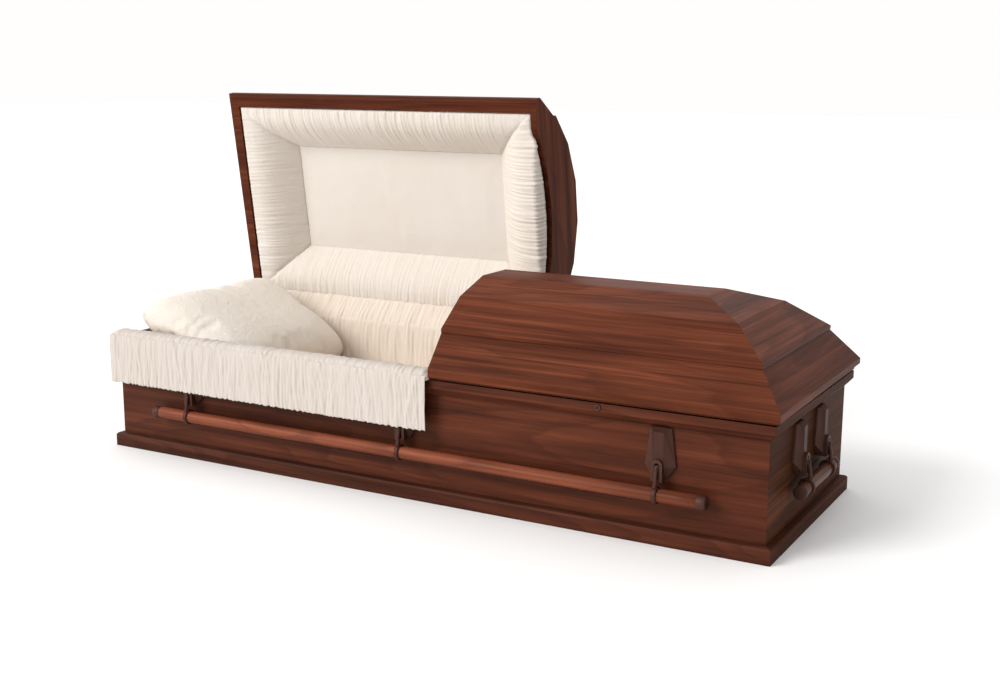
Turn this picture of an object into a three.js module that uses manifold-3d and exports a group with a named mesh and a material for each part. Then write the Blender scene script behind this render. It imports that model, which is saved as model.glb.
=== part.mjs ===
// A wooden half-couch casket: plinth, box, two-part hipped lid, crepe interior and swing bar handles.
// Millimetres, +Z up. +X is the foot end, -Y the front, +Y the hinge side.
// The origin is on the underside, in the middle. The head lid stands open and the foot lid is shut.

import * as THREE from "three";
import { ConvexGeometry } from "three/addons/geometries/ConvexGeometry.js";
import { mergeVertices } from "three/addons/utils/BufferGeometryUtils.js";
import Module from "manifold-3d";

const wasm = await Module();
wasm.setup();

// Fit between touching pieces
const FIT = 0.3;

// Box: length and width over the walls, and the height of its top edge
const BOX_LENGTH = 2063;
const BOX_WIDTH = 658;
const BOX_TOP = 342.7;
const WALL = 20;
const BOTTOM_BOARD = 18;

// Base moulding
const BASE_LEDGE = 18.4;
const BASE_SEAT = 45;
const BASE_FACE = 34.5;
const BASE_CHAMFER_RUN = 4;
const BASE_CHAMFER_RISE = 5;
const BASE_TOP = 43.3;

// Rim moulding round the top of the box
const RIM_LEDGE = 18.7;
const RIM_BAND = 21.9;
const RIM_COVE = 20.8;

// Lid outline and rail
const LID_OVERHANG = 31.1;
const LID_GAP = 4;
const LID_SPLIT_X = 101;
const LID_SPLIT_GAP = 3;
const RAIL_WIDTH = 42;
const RAIL_UNDERCUT_RUN = 12;
const RAIL_UNDERCUT_RISE = 7.6;
const RAIL_FACE = 21.7;

// Lid skirt boards that lean in from the rail
const SKIRT_RUN = 71.2;
const SKIRT_RISE = 86.6;
const SKIRT_BOARD = 18;

// Crown: a drip edge, a lower and an upper facet, and a flat top
const CROWN_DRIP = 2.4;
const CROWN_EDGE = 9.7;
const CROWN_LOWER_RUN = 100.1;
const CROWN_LOWER_RISE = 74.5;
const CROWN_UPPER_RUN = 125.4;
const CROWN_UPPER_RISE = 40.5;
const CROWN_BOARD = 14;

// Arched header board that closes the cut end of each lid
const HEADER = 20;
const ARCH_SHOULDER = 90;
const ARCH_RISE = 65;
const ARCH_STEPS = 16;

// Lid hinge
const OPEN_ANGLE = 81.85;
const HINGE_INSET = 0.5;
const HINGE_ABOVE_BOX = 13.8;
const KNUCKLE_RADIUS = 4.2;
const KNUCKLES = 7;
const KNUCKLE_GAP = 0.6;
const KNUCKLE_SIDES = 12;
const LEAF = 1.5;
const LEAF_DROP = 20;
const LEAF_END = 60;
const HINGE_CLEARANCE = 0.8;

// Quilted lining of the lids
const BORDER_LIFT = 4;
const BORDER_DEPTH = 96;
const BORDER_ACROSS = 147;
const BORDER_ALONG = 162;
const BORDER_LIP = 5;
const PANEL = 8;
const PANEL_TUCK = 12;

// Swell of the border's lower face, as shares of its width and depth
const BORDER_SHARES = [[0.72, 0.5], [0.42, 0.16], [0.16, 0]];

// Soft interior of the box
const LINING = 12;
const LINING_DROP = 1.7;
const MATTRESS_TOP = 195;
const MATTRESS_GAP = 2;
const MATTRESS_ROUND = 18;
const MATTRESS_ARC_STEPS = 3;

// Pillow
const PILLOW_LENGTH = 408;
const PILLOW_WIDTH = 584;
const PILLOW_CROWN = 98;
const PILLOW_BELLY = 62;
const PILLOW_EDGE = 24;
const PILLOW_TILT = 29;
const PILLOW_HEAD_GAP = 3;
const PILLOW_CLEAR = 0.8;
const PILLOW_STEPS_LONG = 10;
const PILLOW_STEPS_WIDE = 12;

// Overlay cloth laid over the front edge
const OVERLAY_FALL = 130;
const OVERLAY_CLOTH = 6;
const OVERLAY_STAND_OFF = 2;
const OVERLAY_RIM_GAP = 1;
const OVERLAY_ROLL = 26;
const OVERLAY_TURN_IN = 70;
const OVERLAY_PAST_HEAD = 13.5;

// Section of the overlay's roll, as shares of its width and height
const ROLL_SHARES = [[0, 0], [0, 0.5], [0.1, 0.85], [0.35, 1], [0.7, 0.9], [0.95, 0.5], [1, 0]];

// Handle ears: a tall six-sided plate, widest below the middle, whose facets rise to a narrow front strip
const EAR_BELOW_RIM = 0.5;
const EAR_SHOULDER = 95;
const EAR_TAPER = 36;
const EAR_TOP_WIDTH = 55;
const EAR_WAIST_WIDTH = 82;
const EAR_BOTTOM_WIDTH = 31;
const EAR_DEPTH = 22;
const EAR_SIDE = 6;
const EAR_STRIP_WIDTH = 26;
const EAR_STRIP_DROP = 8;
const EAR_STRIP_LIFT = 4;
const EAR_BACK = 5;

// Boss of two cheeks at the foot of an ear, arched over the slot where the arm hangs
const BOSS_DEPTH = 31;
const CHEEK = 8.5;
const ARC_SIDES = 14;

// Swing arms and bars
const PIVOT_BELOW_WAIST = 3;
const PIVOT_OUT = 25;
const PIN_RADIUS = 3.5;
const PIN_CLEARANCE = 0.2;
const ARM_WIDTH = 11;
const ARM_BULGE = 3;
const ARM_WAIST = 4;
const SLOT_SIDE_CLEARANCE = 0.7;
const EYE_RADIUS = 9;
const EYE_CLEARANCE = 5;
const BAR_OUT = 30;
const BAR_DROP = 67.5;
const BAR_DIAMETER = 36;
const BAR_CHAMFER = 2;
const RING_WALL = 4.5;
const RING_WIDTH = 12;
const ROUND_SIDES = 24;
const PIN_SIDES = 12;

// Handle places
const LONG_BAR = 1763;
const LONG_EAR_SPACING = 749;
const LONG_HANDLE_SHIFT = 10;
const END_BAR = 310;
const END_EAR_SPACING = 187;
const END_HANDLE_TO_FRONT = 16;

// Key escutcheon in the front rim
const KEY_X = 593;
const KEY_RADIUS = 8.5;
const KEY_HOLE = 3.2;
const KEY_THICK = 3;
const KEY_HOLE_DEPTH = 2.2;
const KEY_BEVEL = 1.2;
const KEY_SIDES = 18;

// Sizes that follow from the ones above
const BOX_X = BOX_LENGTH / 2;
const BOX_Y = BOX_WIDTH / 2;
const LID_X = BOX_X + LID_OVERHANG;
const LID_Y = BOX_Y + LID_OVERHANG;
const RAIL_BOTTOM = BOX_TOP + LID_GAP;
const RAIL_EDGE = RAIL_BOTTOM + RAIL_UNDERCUT_RISE;
const RAIL_TOP = RAIL_EDGE + RAIL_FACE;
const SKIRT_TOP = RAIL_TOP + SKIRT_RISE;
const CROWN_INSET = SKIRT_RUN - CROWN_DRIP;
const CROWN_BOTTOM = SKIRT_TOP + 2 * FIT;
const CROWN_LIP = CROWN_BOTTOM + CROWN_EDGE;
const CROWN_BREAK = CROWN_LIP + CROWN_LOWER_RISE;
const CROWN_TOP = CROWN_BREAK + CROWN_UPPER_RISE;
const CROWN_BREAK_INSET = CROWN_INSET + CROWN_LOWER_RUN;
const CROWN_TOP_INSET = CROWN_BREAK_INSET + CROWN_UPPER_RUN;
const HINGE_Y = LID_Y - HINGE_INSET;
const HINGE_Z = BOX_TOP + HINGE_ABOVE_BOX;
const HINGE_REBATE_Z = HINGE_Z + KNUCKLE_RADIUS + HINGE_CLEARANCE;
const LINING_TOP = BOX_TOP - LINING_DROP;
const BORDER_BOTTOM = RAIL_BOTTOM + BORDER_LIFT;
const PANEL_Z = RAIL_BOTTOM + BORDER_DEPTH;
const EAR_TOP = BOX_TOP - RIM_BAND - RIM_COVE - EAR_BELOW_RIM;
const EAR_WAIST = EAR_TOP - EAR_SHOULDER;
const EAR_BOTTOM = EAR_WAIST - EAR_TAPER;
const PIVOT_Z = EAR_WAIST - PIVOT_BELOW_WAIST;
const BAR_Z = PIVOT_Z - BAR_DROP;
const SKIRT_ACROSS = SKIRT_BOARD * Math.hypot(SKIRT_RUN, SKIRT_RISE) / SKIRT_RISE;

const HEAD_LID = { name: "head_lid", cut: LID_SPLIT_X - LID_SPLIT_GAP / 2, end: -LID_X };
const FOOT_LID = { name: "foot_lid", cut: LID_SPLIT_X + LID_SPLIT_GAP / 2, end: LID_X };

const finish = (color, roughness, metalness = 0) =>
  new THREE.MeshStandardMaterial({ color, roughness, metalness });
const WOOD = finish(0x6e3f2f, 0.4);
const WOOD_DARK = finish(0x5a3226, 0.45);
const WOOD_BAR = finish(0x8f553c, 0.35);
const BRONZE = finish(0x3a2722, 0.4, 0.8);
const BRASS = finish(0x5a4632, 0.45, 0.9);
const CREPE = finish(0xf2e8da, 0.9);

const casket = new THREE.Group();
const openLid = new THREE.Group();
openLid.position.set(0, HINGE_Y, HINGE_Z);
openLid.rotation.x = -THREE.MathUtils.degToRad(OPEN_ANGLE);
const openLidContents = new THREE.Group();
openLidContents.position.set(0, -HINGE_Y, -HINGE_Z);
openLid.add(openLidContents);
casket.add(openLid);

function place(name, geometry, material, parent = casket) {
  const mesh = new THREE.Mesh(geometry, material);
  mesh.name = name;
  parent.add(mesh);
  return mesh;
}

// Geometry tools

function signedVolume(points, faces) {
  let volume = 0;
  for (const [a, b, c] of faces) {
    volume += points[a].dot(points[b].clone().cross(points[c])) / 6;
  }
  return volume;
}

function closedGeometry(points, faces) {
  const outward = signedVolume(points, faces) > 0;
  const geometry = new THREE.BufferGeometry().setFromPoints(points);
  geometry.setIndex(faces.flatMap(([a, b, c]) => (outward ? [a, b, c] : [a, c, b])));
  geometry.computeVertexNormals();
  return geometry;
}

// Joins equal rings of points in order; an open run is capped with the outline's own triangles.
function loft(rings, outline, closed = false) {
  const count = outline.length;
  const points = rings.flat();
  const faces = [];
  const runs = closed ? rings.length : rings.length - 1;
  for (let r = 0; r < runs; r += 1) {
    const here = r * count;
    const next = ((r + 1) % rings.length) * count;
    for (let i = 0; i < count; i += 1) {
      const j = (i + 1) % count;
      faces.push([here + i, here + j, next + j], [here + i, next + j, next + i]);
    }
  }
  if (!closed) {
    const flat = outline.map(([a, b]) => new THREE.Vector2(a, b));
    const last = (rings.length - 1) * count;
    const anticlockwise = THREE.ShapeUtils.area(flat) > 0;
    for (const [a, b, c] of THREE.ShapeUtils.triangulateShape(flat, [])) {
      const [p, q] = anticlockwise ? [b, c] : [c, b];
      faces.push([a, q, p], [last + a, last + p, last + q]);
    }
  }
  return closedGeometry(points, faces);
}

function solidOf(geometry) {
  const bare = geometry.clone();
  bare.deleteAttribute("normal");
  bare.deleteAttribute("uv");
  const merged = mergeVertices(bare, 1e-4);
  return new wasm.Manifold(new wasm.Mesh({
    numProp: 3,
    vertProperties: new Float32Array(merged.attributes.position.array),
    triVerts: new Uint32Array(merged.index.array),
  }));
}

function geometryOf(solid) {
  const mesh = solid.getMesh();
  const geometry = new THREE.BufferGeometry();
  geometry.setAttribute("position", new THREE.BufferAttribute(new Float32Array(mesh.vertProperties), 3));
  geometry.setIndex(new THREE.BufferAttribute(new Uint32Array(mesh.triVerts), 1));
  geometry.computeVertexNormals();
  return geometry;
}

function joined(...geometries) {
  return geometries.map(solidOf).reduce((whole, next) => whole.add(next));
}

// A bar of constant section along X: the outline's pairs are (y, z).
function alongX(outline, from, to) {
  const ring = (x) => outline.map(([y, z]) => new THREE.Vector3(x, y, z));
  return loft([ring(from), ring(to)], outline);
}

// A bar of constant section along Y: the outline's pairs are (x, z).
function alongY(outline, from, to) {
  const ring = (y) => outline.map(([x, z]) => new THREE.Vector3(x, y, z));
  return loft([ring(from), ring(to)], outline);
}

function circle(y, z, radius, sides) {
  return Array.from({ length: sides }, (_, i) => {
    const angle = (2 * Math.PI * i) / sides;
    return [y + radius * Math.cos(angle), z + radius * Math.sin(angle)];
  });
}

// A board along one side of the box with both ends mitred: the outline's pairs are (outward, z).
function mitredBoard(side, outline) {
  const along = side === "front" || side === "back";
  const sign = side === "front" || side === "head" ? -1 : 1;
  const relief = FIT * Math.SQRT1_2;
  const ring = (end) => outline.map(([out, z]) => {
    const run = end * ((along ? BOX_X : BOX_Y) + out - relief);
    const off = sign * ((along ? BOX_Y : BOX_X) + out);
    return along ? new THREE.Vector3(run, off, z) : new THREE.Vector3(off, run, z);
  });
  return loft([ring(-1), ring(1)], outline);
}

// A frame round three sides of a lid, open at its cut end: the outline's pairs are (inset, z).
function lidFrame(lid, outline, backOutline = outline) {
  const inward = Math.sign(lid.end - lid.cut);
  const start = lid.cut + inward * (HEADER + FIT);
  const corner = (pairs, side, atEnd) => pairs.map(([inset, z]) => new THREE.Vector3(
    atEnd ? lid.end - inward * inset : start,
    side * (LID_Y - inset),
    z,
  ));
  return loft([
    corner(outline, -1, false),
    corner(outline, -1, true),
    corner(backOutline, 1, true),
    corner(backOutline, 1, false),
  ], outline);
}

// Offsets a run of (inset, z) points inward by a board's thickness, mitred at each break.
function boardInside(run, thickness) {
  const normals = run.slice(1).map(([x, z], i) => {
    const dx = x - run[i][0];
    const dz = z - run[i][1];
    const length = Math.hypot(dx, dz);
    return [dz / length, -dx / length];
  });
  return run.map(([x, z], i) => {
    const before = normals[Math.max(0, i - 1)];
    const after = normals[Math.min(normals.length - 1, i)];
    const scale = thickness / (1 + before[0] * after[0] + before[1] * after[1]);
    return [x + (before[0] + after[0]) * scale, z + (before[1] + after[1]) * scale];
  });
}

// Box and mouldings

const SIDES = ["front", "back", "head", "foot"];

function addBox() {
  const base = [
    [-BASE_SEAT, 0],
    [BASE_LEDGE, 0],
    [BASE_LEDGE, BASE_FACE],
    [BASE_LEDGE - BASE_CHAMFER_RUN, BASE_FACE + BASE_CHAMFER_RISE],
    [0, BASE_TOP],
    [-BASE_SEAT, BASE_TOP],
  ];
  const wall = [[-WALL, BASE_TOP + FIT], [0, BASE_TOP + FIT], [0, BOX_TOP], [-WALL, BOX_TOP]];
  const rim = [
    [FIT, BOX_TOP - RIM_BAND - RIM_COVE],
    [RIM_LEDGE, BOX_TOP - RIM_BAND],
    [RIM_LEDGE, BOX_TOP],
    [FIT, BOX_TOP],
  ];
  for (const side of SIDES) {
    place(`base_moulding_${side}`, mitredBoard(side, base), WOOD_DARK);
    place(`wall_${side}`, mitredBoard(side, wall), WOOD);
    place(`rim_moulding_${side}`, mitredBoard(side, rim), WOOD);
  }
  const board = new THREE.BoxGeometry(
    BOX_LENGTH - 2 * (BASE_SEAT + FIT),
    BOX_WIDTH - 2 * (BASE_SEAT + FIT),
    BOTTOM_BOARD,
  );
  board.translate(0, 0, BOTTOM_BOARD / 2);
  place("bottom_board", board, WOOD_DARK);
}

function addEscutcheon() {
  const profile = [
    [0, 0],
    [KEY_RADIUS, 0],
    [KEY_RADIUS, KEY_THICK - KEY_BEVEL],
    [KEY_RADIUS - KEY_BEVEL, KEY_THICK],
    [KEY_HOLE, KEY_THICK],
    [KEY_HOLE, KEY_THICK - KEY_HOLE_DEPTH],
    [0, KEY_THICK - KEY_HOLE_DEPTH],
  ];
  const disc = new THREE.LatheGeometry(profile.map(([r, h]) => new THREE.Vector2(r, h)), KEY_SIDES);
  disc.rotateX(Math.PI);
  disc.translate(KEY_X, -(BOX_Y + RIM_LEDGE + FIT), BOX_TOP - RIM_BAND / 2);
  place("key_escutcheon", geometryOf(solidOf(disc)), BRONZE);
}

// Lids

const CROWN_RUN = [
  [CROWN_INSET, CROWN_BOTTOM],
  [CROWN_INSET, CROWN_LIP],
  [CROWN_BREAK_INSET, CROWN_BREAK],
  [CROWN_TOP_INSET, CROWN_TOP],
];

// The solid under a run of (inset, z) points, hipped at the lid's end and square at its cut end.
function hippedSolid(lid, run, start) {
  const inward = Math.sign(lid.end - lid.cut);
  const corners = [];
  for (const [inset, z] of run) {
    for (const side of [-1, 1]) {
      const y = side * (LID_Y - inset);
      corners.push(new THREE.Vector3(start, y, z), new THREE.Vector3(lid.end - inward * inset, y, z));
    }
  }
  return solidOf(new ConvexGeometry(corners));
}

function crownGeometry(lid) {
  const inward = Math.sign(lid.end - lid.cut);
  const start = lid.cut + inward * (HEADER + FIT);
  const top = [LID_Y, CROWN_TOP];
  const inside = boardInside([...CROWN_RUN, top], CROWN_BOARD).slice(0, -1);
  const [[bottomInset]] = inside;
  const below = [bottomInset, CROWN_BOTTOM - CROWN_BOARD];
  const outer = hippedSolid(lid, CROWN_RUN, start);
  const inner = hippedSolid(lid, [below, ...inside], start - inward * CROWN_BOARD);
  return geometryOf(outer.subtract(inner));
}

function headerGeometry(lid) {
  const inward = Math.sign(lid.end - lid.cut);
  const archHalf = LID_Y - ARCH_SHOULDER;
  const radius = (archHalf ** 2 + ARCH_RISE ** 2) / (2 * ARCH_RISE);
  const sweep = Math.asin(archHalf / radius);
  const arch = Array.from({ length: ARCH_STEPS + 1 }, (_, i) => {
    const angle = sweep * (1 - (2 * i) / ARCH_STEPS);
    return [radius * Math.sin(angle), RAIL_BOTTOM + ARCH_RISE - radius * (1 - Math.cos(angle))];
  });
  const edge = (side) => [
    [side * (LID_Y - RAIL_UNDERCUT_RUN), RAIL_BOTTOM],
    [side * LID_Y, RAIL_EDGE],
    [side * LID_Y, RAIL_TOP],
    [side * (LID_Y - SKIRT_RUN), SKIRT_TOP],
    ...CROWN_RUN.map(([inset, z]) => [side * (LID_Y - inset), z]),
  ];
  const rebate = [
    [LID_Y - RAIL_UNDERCUT_RUN, RAIL_BOTTOM],
    [LID_Y - RAIL_UNDERCUT_RUN, HINGE_REBATE_Z],
    [LID_Y, HINGE_REBATE_Z],
  ];
  const outline = [...edge(-1), ...[...rebate, ...edge(1).slice(2)].reverse(), ...arch];
  return alongX(outline, lid.cut, lid.cut + inward * HEADER);
}

function addLid(lid, parent) {
  const block = [
    [0, RAIL_TOP],
    [RAIL_WIDTH, RAIL_TOP],
    [RAIL_WIDTH, RAIL_BOTTOM],
    [RAIL_UNDERCUT_RUN, RAIL_BOTTOM],
  ];
  const undercutMiddle = [RAIL_UNDERCUT_RUN / 2, RAIL_BOTTOM + RAIL_UNDERCUT_RISE / 2];
  const rail = [...block, undercutMiddle, [0, RAIL_EDGE]];
  const hingeRail = [...block, [RAIL_UNDERCUT_RUN, HINGE_REBATE_Z], [0, HINGE_REBATE_Z]];
  const skirt = [
    [0, RAIL_TOP + FIT],
    [SKIRT_RUN, SKIRT_TOP + FIT],
    [SKIRT_RUN + SKIRT_ACROSS, SKIRT_TOP + FIT],
    [SKIRT_ACROSS, RAIL_TOP + FIT],
  ];
  place(`${lid.name}_rail`, lidFrame(lid, rail, hingeRail), WOOD, parent);
  place(`${lid.name}_skirt`, lidFrame(lid, skirt), WOOD, parent);
  place(`${lid.name}_crown`, crownGeometry(lid), WOOD, parent);
  place(`${lid.name}_header`, headerGeometry(lid), WOOD, parent);
  addLidLining(lid, parent);
}

// The gathered border is a ring of one section; its pairs are (share of the border's width, z).
function addLidLining(lid, parent) {
  const inward = Math.sign(lid.end - lid.cut);
  const xCut = lid.cut + inward * (HEADER + FIT);
  const xEnd = lid.end - inward * (RAIL_WIDTH + FIT);
  const yEdge = LID_Y - RAIL_WIDTH - FIT;
  const skirtInset = (z) => SKIRT_ACROSS + (z - RAIL_TOP) * SKIRT_RUN / SKIRT_RISE - RAIL_WIDTH + 2 * FIT;
  const backShare = skirtInset(PANEL_Z) / BORDER_ACROSS;
  const depth = PANEL_Z - BORDER_BOTTOM;
  const section = [
    [0, BORDER_BOTTOM],
    [0, RAIL_TOP],
    [backShare, PANEL_Z],
    [1, PANEL_Z],
    [1, PANEL_Z - BORDER_LIP],
    ...BORDER_SHARES.map(([share, rise]) => [share, BORDER_BOTTOM + rise * depth]),
  ];
  const ring = (atCut, side) => section.map(([share, z]) => new THREE.Vector3(
    atCut ? xCut + inward * share * BORDER_ALONG : xEnd - inward * share * BORDER_ALONG,
    side * (yEdge - share * BORDER_ACROSS),
    z,
  ));
  const rings = [ring(true, -1), ring(false, -1), ring(false, 1), ring(true, 1)];
  place(`${lid.name}_border`, loft(rings, section, true), CREPE, parent);
  const length = Math.abs(xEnd - xCut) - 2 * (BORDER_ALONG - PANEL_TUCK);
  const width = 2 * (yEdge - BORDER_ACROSS + PANEL_TUCK);
  const panel = new THREE.BoxGeometry(length, width, PANEL);
  panel.translate((xCut + xEnd) / 2, 0, PANEL_Z + FIT + PANEL / 2);
  place(`${lid.name}_panel`, panel, CREPE, parent);
}

// Each hinge is two leaves with knuckles by turns on one axis.
function addHinge(lid, lidParent) {
  const from = Math.min(lid.cut, lid.end) + LEAF_END;
  const to = Math.max(lid.cut, lid.end) - LEAF_END;
  const step = (to - from) / KNUCKLES;
  const boxFace = BOX_Y + RIM_LEDGE + FIT;
  const lidFace = LID_Y + FIT;
  const boxLeaf = [
    [boxFace, BOX_TOP - LEAF_DROP],
    [boxFace + LEAF, BOX_TOP - LEAF_DROP],
    [boxFace + LEAF, BOX_TOP],
    [boxFace, BOX_TOP],
  ];
  const boxFinger = [
    [boxFace, BOX_TOP - LEAF],
    [boxFace + LEAF, BOX_TOP - LEAF],
    [HINGE_Y + LEAF / 2, HINGE_Z - LEAF],
    [HINGE_Y - LEAF, HINGE_Z],
    [boxFace, BOX_TOP + LEAF],
  ];
  const lidLeaf = [
    [lidFace, HINGE_REBATE_Z],
    [lidFace + LEAF, HINGE_REBATE_Z],
    [lidFace + LEAF, RAIL_TOP],
    [lidFace, RAIL_TOP],
  ];
  const lidFinger = [
    [lidFace, HINGE_REBATE_Z + LEAF],
    [lidFace, HINGE_Z],
    [lidFace + LEAF, HINGE_Z],
    [lidFace + LEAF, HINGE_REBATE_Z + LEAF],
  ];
  const boxParts = [alongX(boxLeaf, from, to)];
  const lidParts = [alongX(lidLeaf, from, to)];
  const knuckle = circle(HINGE_Y, HINGE_Z, KNUCKLE_RADIUS, KNUCKLE_SIDES);
  for (let i = 0; i < KNUCKLES; i += 1) {
    const start = from + i * step + KNUCKLE_GAP / 2;
    const end = from + (i + 1) * step - KNUCKLE_GAP / 2;
    const parts = i % 2 === 0 ? boxParts : lidParts;
    parts.push(alongX(knuckle, start, end));
    parts.push(alongX(i % 2 === 0 ? boxFinger : lidFinger, start, end));
  }
  place(`${lid.name}_hinge_box_leaf`, geometryOf(joined(...boxParts)), BRASS);
  place(`${lid.name}_hinge_lid_leaf`, geometryOf(joined(...lidParts)), BRASS, lidParent);
}

// Soft interior

function addLining() {
  const x = BOX_X - WALL - FIT;
  const y = BOX_Y - WALL - FIT;
  const section = [[0, MATTRESS_TOP], [0, LINING_TOP], [LINING, LINING_TOP], [LINING, MATTRESS_TOP]];
  const corners = [[-1, -1], [1, -1], [1, 1], [-1, 1]];
  const rings = corners.map(([sx, sy]) => section.map(([inset, z]) => (
    new THREE.Vector3(sx * (x - inset), sy * (y - inset), z)
  )));
  place("box_lining", loft(rings, section, true), CREPE);
}

function addMattress() {
  const halfX = BOX_X - WALL - LINING - MATTRESS_GAP;
  const halfY = BOX_Y - WALL - LINING - MATTRESS_GAP;
  const bottom = BASE_TOP + FIT;
  const arc = (y, z, turn) => Array.from({ length: MATTRESS_ARC_STEPS + 1 }, (_, i) => {
    const angle = ((turn + i / MATTRESS_ARC_STEPS) * Math.PI) / 2;
    return [y + MATTRESS_ROUND * Math.cos(angle), z + MATTRESS_ROUND * Math.sin(angle)];
  });
  const side = halfY - MATTRESS_ROUND;
  const low = bottom + MATTRESS_ROUND;
  const high = MATTRESS_TOP - FIT - MATTRESS_ROUND;
  const outline = [
    ...arc(side, high, 0),
    ...arc(-side, high, 1),
    ...arc(-side, low, 2),
    ...arc(side, low, 3),
  ];
  place("mattress", alongX(outline, -halfX, halfX), CREPE);
}

// The pillow's thickness above or below its seam, at shares of its half length and half width.
function pillowRise(u, v, crown) {
  const along = Math.sqrt(Math.max(0, 1 - Math.abs(u) ** 3));
  const across = Math.sqrt(Math.max(0, 1 - Math.abs(v) ** 4));
  return PILLOW_EDGE + (crown - PILLOW_EDGE) * along * across;
}

function addPillow() {
  const points = [];
  const faces = [];
  const columns = PILLOW_STEPS_WIDE + 1;
  const cell = (i, j) => i * columns + j;
  for (const face of [1, -1]) {
    const crown = face > 0 ? PILLOW_CROWN : PILLOW_BELLY;
    for (let i = 0; i <= PILLOW_STEPS_LONG; i += 1) {
      for (let j = 0; j <= PILLOW_STEPS_WIDE; j += 1) {
        const u = (2 * i) / PILLOW_STEPS_LONG - 1;
        const v = (2 * j) / PILLOW_STEPS_WIDE - 1;
        const x = (u * PILLOW_LENGTH) / 2;
        const y = (v * PILLOW_WIDTH) / 2;
        points.push(new THREE.Vector3(x, y, face * pillowRise(u, v, crown)));
      }
    }
  }
  const below = (PILLOW_STEPS_LONG + 1) * columns;
  for (let i = 0; i < PILLOW_STEPS_LONG; i += 1) {
    for (let j = 0; j < PILLOW_STEPS_WIDE; j += 1) {
      const quad = [cell(i, j), cell(i + 1, j), cell(i + 1, j + 1), cell(i, j + 1)];
      faces.push([quad[0], quad[1], quad[2]], [quad[0], quad[2], quad[3]]);
      const under = quad.map((n) => n + below);
      faces.push([under[0], under[2], under[1]], [under[0], under[3], under[2]]);
    }
  }
  const wall = (a, b) => faces.push([a, a + below, b + below], [a, b + below, b]);
  for (let i = 0; i < PILLOW_STEPS_LONG; i += 1) {
    wall(cell(i, 0), cell(i + 1, 0));
    wall(cell(i + 1, PILLOW_STEPS_WIDE), cell(i, PILLOW_STEPS_WIDE));
  }
  for (let j = 0; j < PILLOW_STEPS_WIDE; j += 1) {
    wall(cell(0, j + 1), cell(0, j));
    wall(cell(PILLOW_STEPS_LONG, j), cell(PILLOW_STEPS_LONG, j + 1));
  }
  const pillow = closedGeometry(points, faces);
  pillow.rotateY(THREE.MathUtils.degToRad(PILLOW_TILT));
  pillow.computeBoundingBox();
  const headFace = -(BOX_X - WALL - LINING) + PILLOW_HEAD_GAP;
  const rest = MATTRESS_TOP + PILLOW_CLEAR - pillow.boundingBox.min.z;
  pillow.translate(headFace - pillow.boundingBox.min.x, 0, rest);
  place("pillow", pillow, CREPE);
}

// The overlay turns over the front edge: a fall outside and a soft roll on top.
function addOverlay() {
  const inner = BOX_Y + BOSS_DEPTH + OVERLAY_STAND_OFF;
  const outer = inner + OVERLAY_CLOTH;
  const rimFace = BOX_Y + RIM_LEDGE + OVERLAY_RIM_GAP;
  const hem = BOX_TOP - OVERLAY_FALL;
  const fall = [
    [-rimFace, BOX_TOP],
    [-rimFace, BOX_TOP - RIM_BAND],
    [-inner, BOX_TOP - RIM_BAND - RIM_COVE],
    [-inner, hem],
    [-outer, hem],
    [-outer, BOX_TOP],
  ];
  const from = -(BOX_X + OVERLAY_PAST_HEAD);
  const to = HEAD_LID.cut;
  place("overlay_fall", alongX(fall, from, to), CREPE);
  const bottom = BOX_TOP + FIT;
  const roll = ROLL_SHARES.map(([share, rise]) => [
    -outer + share * OVERLAY_TURN_IN,
    bottom + rise * OVERLAY_ROLL,
  ]);
  place("overlay_roll", alongX(roll, from, to), CREPE);
}

// Handles, in a frame whose wall is the plane y = 0 with -Y outward

function archOutline(half, crownZ, bottomZ) {
  const arc = Array.from({ length: ARC_SIDES / 2 + 1 }, (_, i) => {
    const angle = (Math.PI * 2 * i) / ARC_SIDES;
    return [half * Math.cos(angle), crownZ - half + half * Math.sin(angle)];
  });
  return [[half, bottomZ], ...arc, [-half, bottomZ]];
}

function earGeometry() {
  const outline = [
    [-EAR_BOTTOM_WIDTH / 2, EAR_BOTTOM],
    [EAR_BOTTOM_WIDTH / 2, EAR_BOTTOM],
    [EAR_WAIST_WIDTH / 2, EAR_WAIST],
    [EAR_TOP_WIDTH / 2, EAR_TOP],
    [-EAR_TOP_WIDTH / 2, EAR_TOP],
    [-EAR_WAIST_WIDTH / 2, EAR_WAIST],
  ];
  const stripHalf = EAR_STRIP_WIDTH / 2;
  const strip = [
    [-stripHalf, EAR_BOTTOM + EAR_STRIP_LIFT],
    [stripHalf, EAR_BOTTOM + EAR_STRIP_LIFT],
    [stripHalf, EAR_WAIST],
    [stripHalf, EAR_TOP - EAR_STRIP_DROP],
    [-stripHalf, EAR_TOP - EAR_STRIP_DROP],
    [-stripHalf, EAR_WAIST],
  ];
  const ring = (points, depth) => points.map(([x, z]) => new THREE.Vector3(x, -depth, z));
  const plate = loft([ring(outline, FIT), ring(outline, EAR_SIDE), ring(strip, EAR_DEPTH)], outline);
  const slotHalf = ARM_WIDTH / 2 + SLOT_SIDE_CLEARANCE;
  const bossHalf = slotHalf + CHEEK;
  const crown = PIVOT_Z + EYE_RADIUS + EYE_CLEARANCE;
  const boss = alongY(archOutline(bossHalf, crown + CHEEK, EAR_BOTTOM), -BOSS_DEPTH, -EAR_BACK);
  const slot = alongY(
    archOutline(slotHalf, crown, EAR_BOTTOM - EAR_BACK),
    -BOSS_DEPTH - EAR_BACK,
    -EAR_BACK,
  );
  const pinHalf = slotHalf + CHEEK / 2;
  const pin = alongX(circle(-PIVOT_OUT, PIVOT_Z, PIN_RADIUS, PIN_SIDES), -pinHalf, pinHalf);
  return geometryOf(joined(plate, boss).subtract(solidOf(slot)).add(solidOf(pin)));
}

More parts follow.
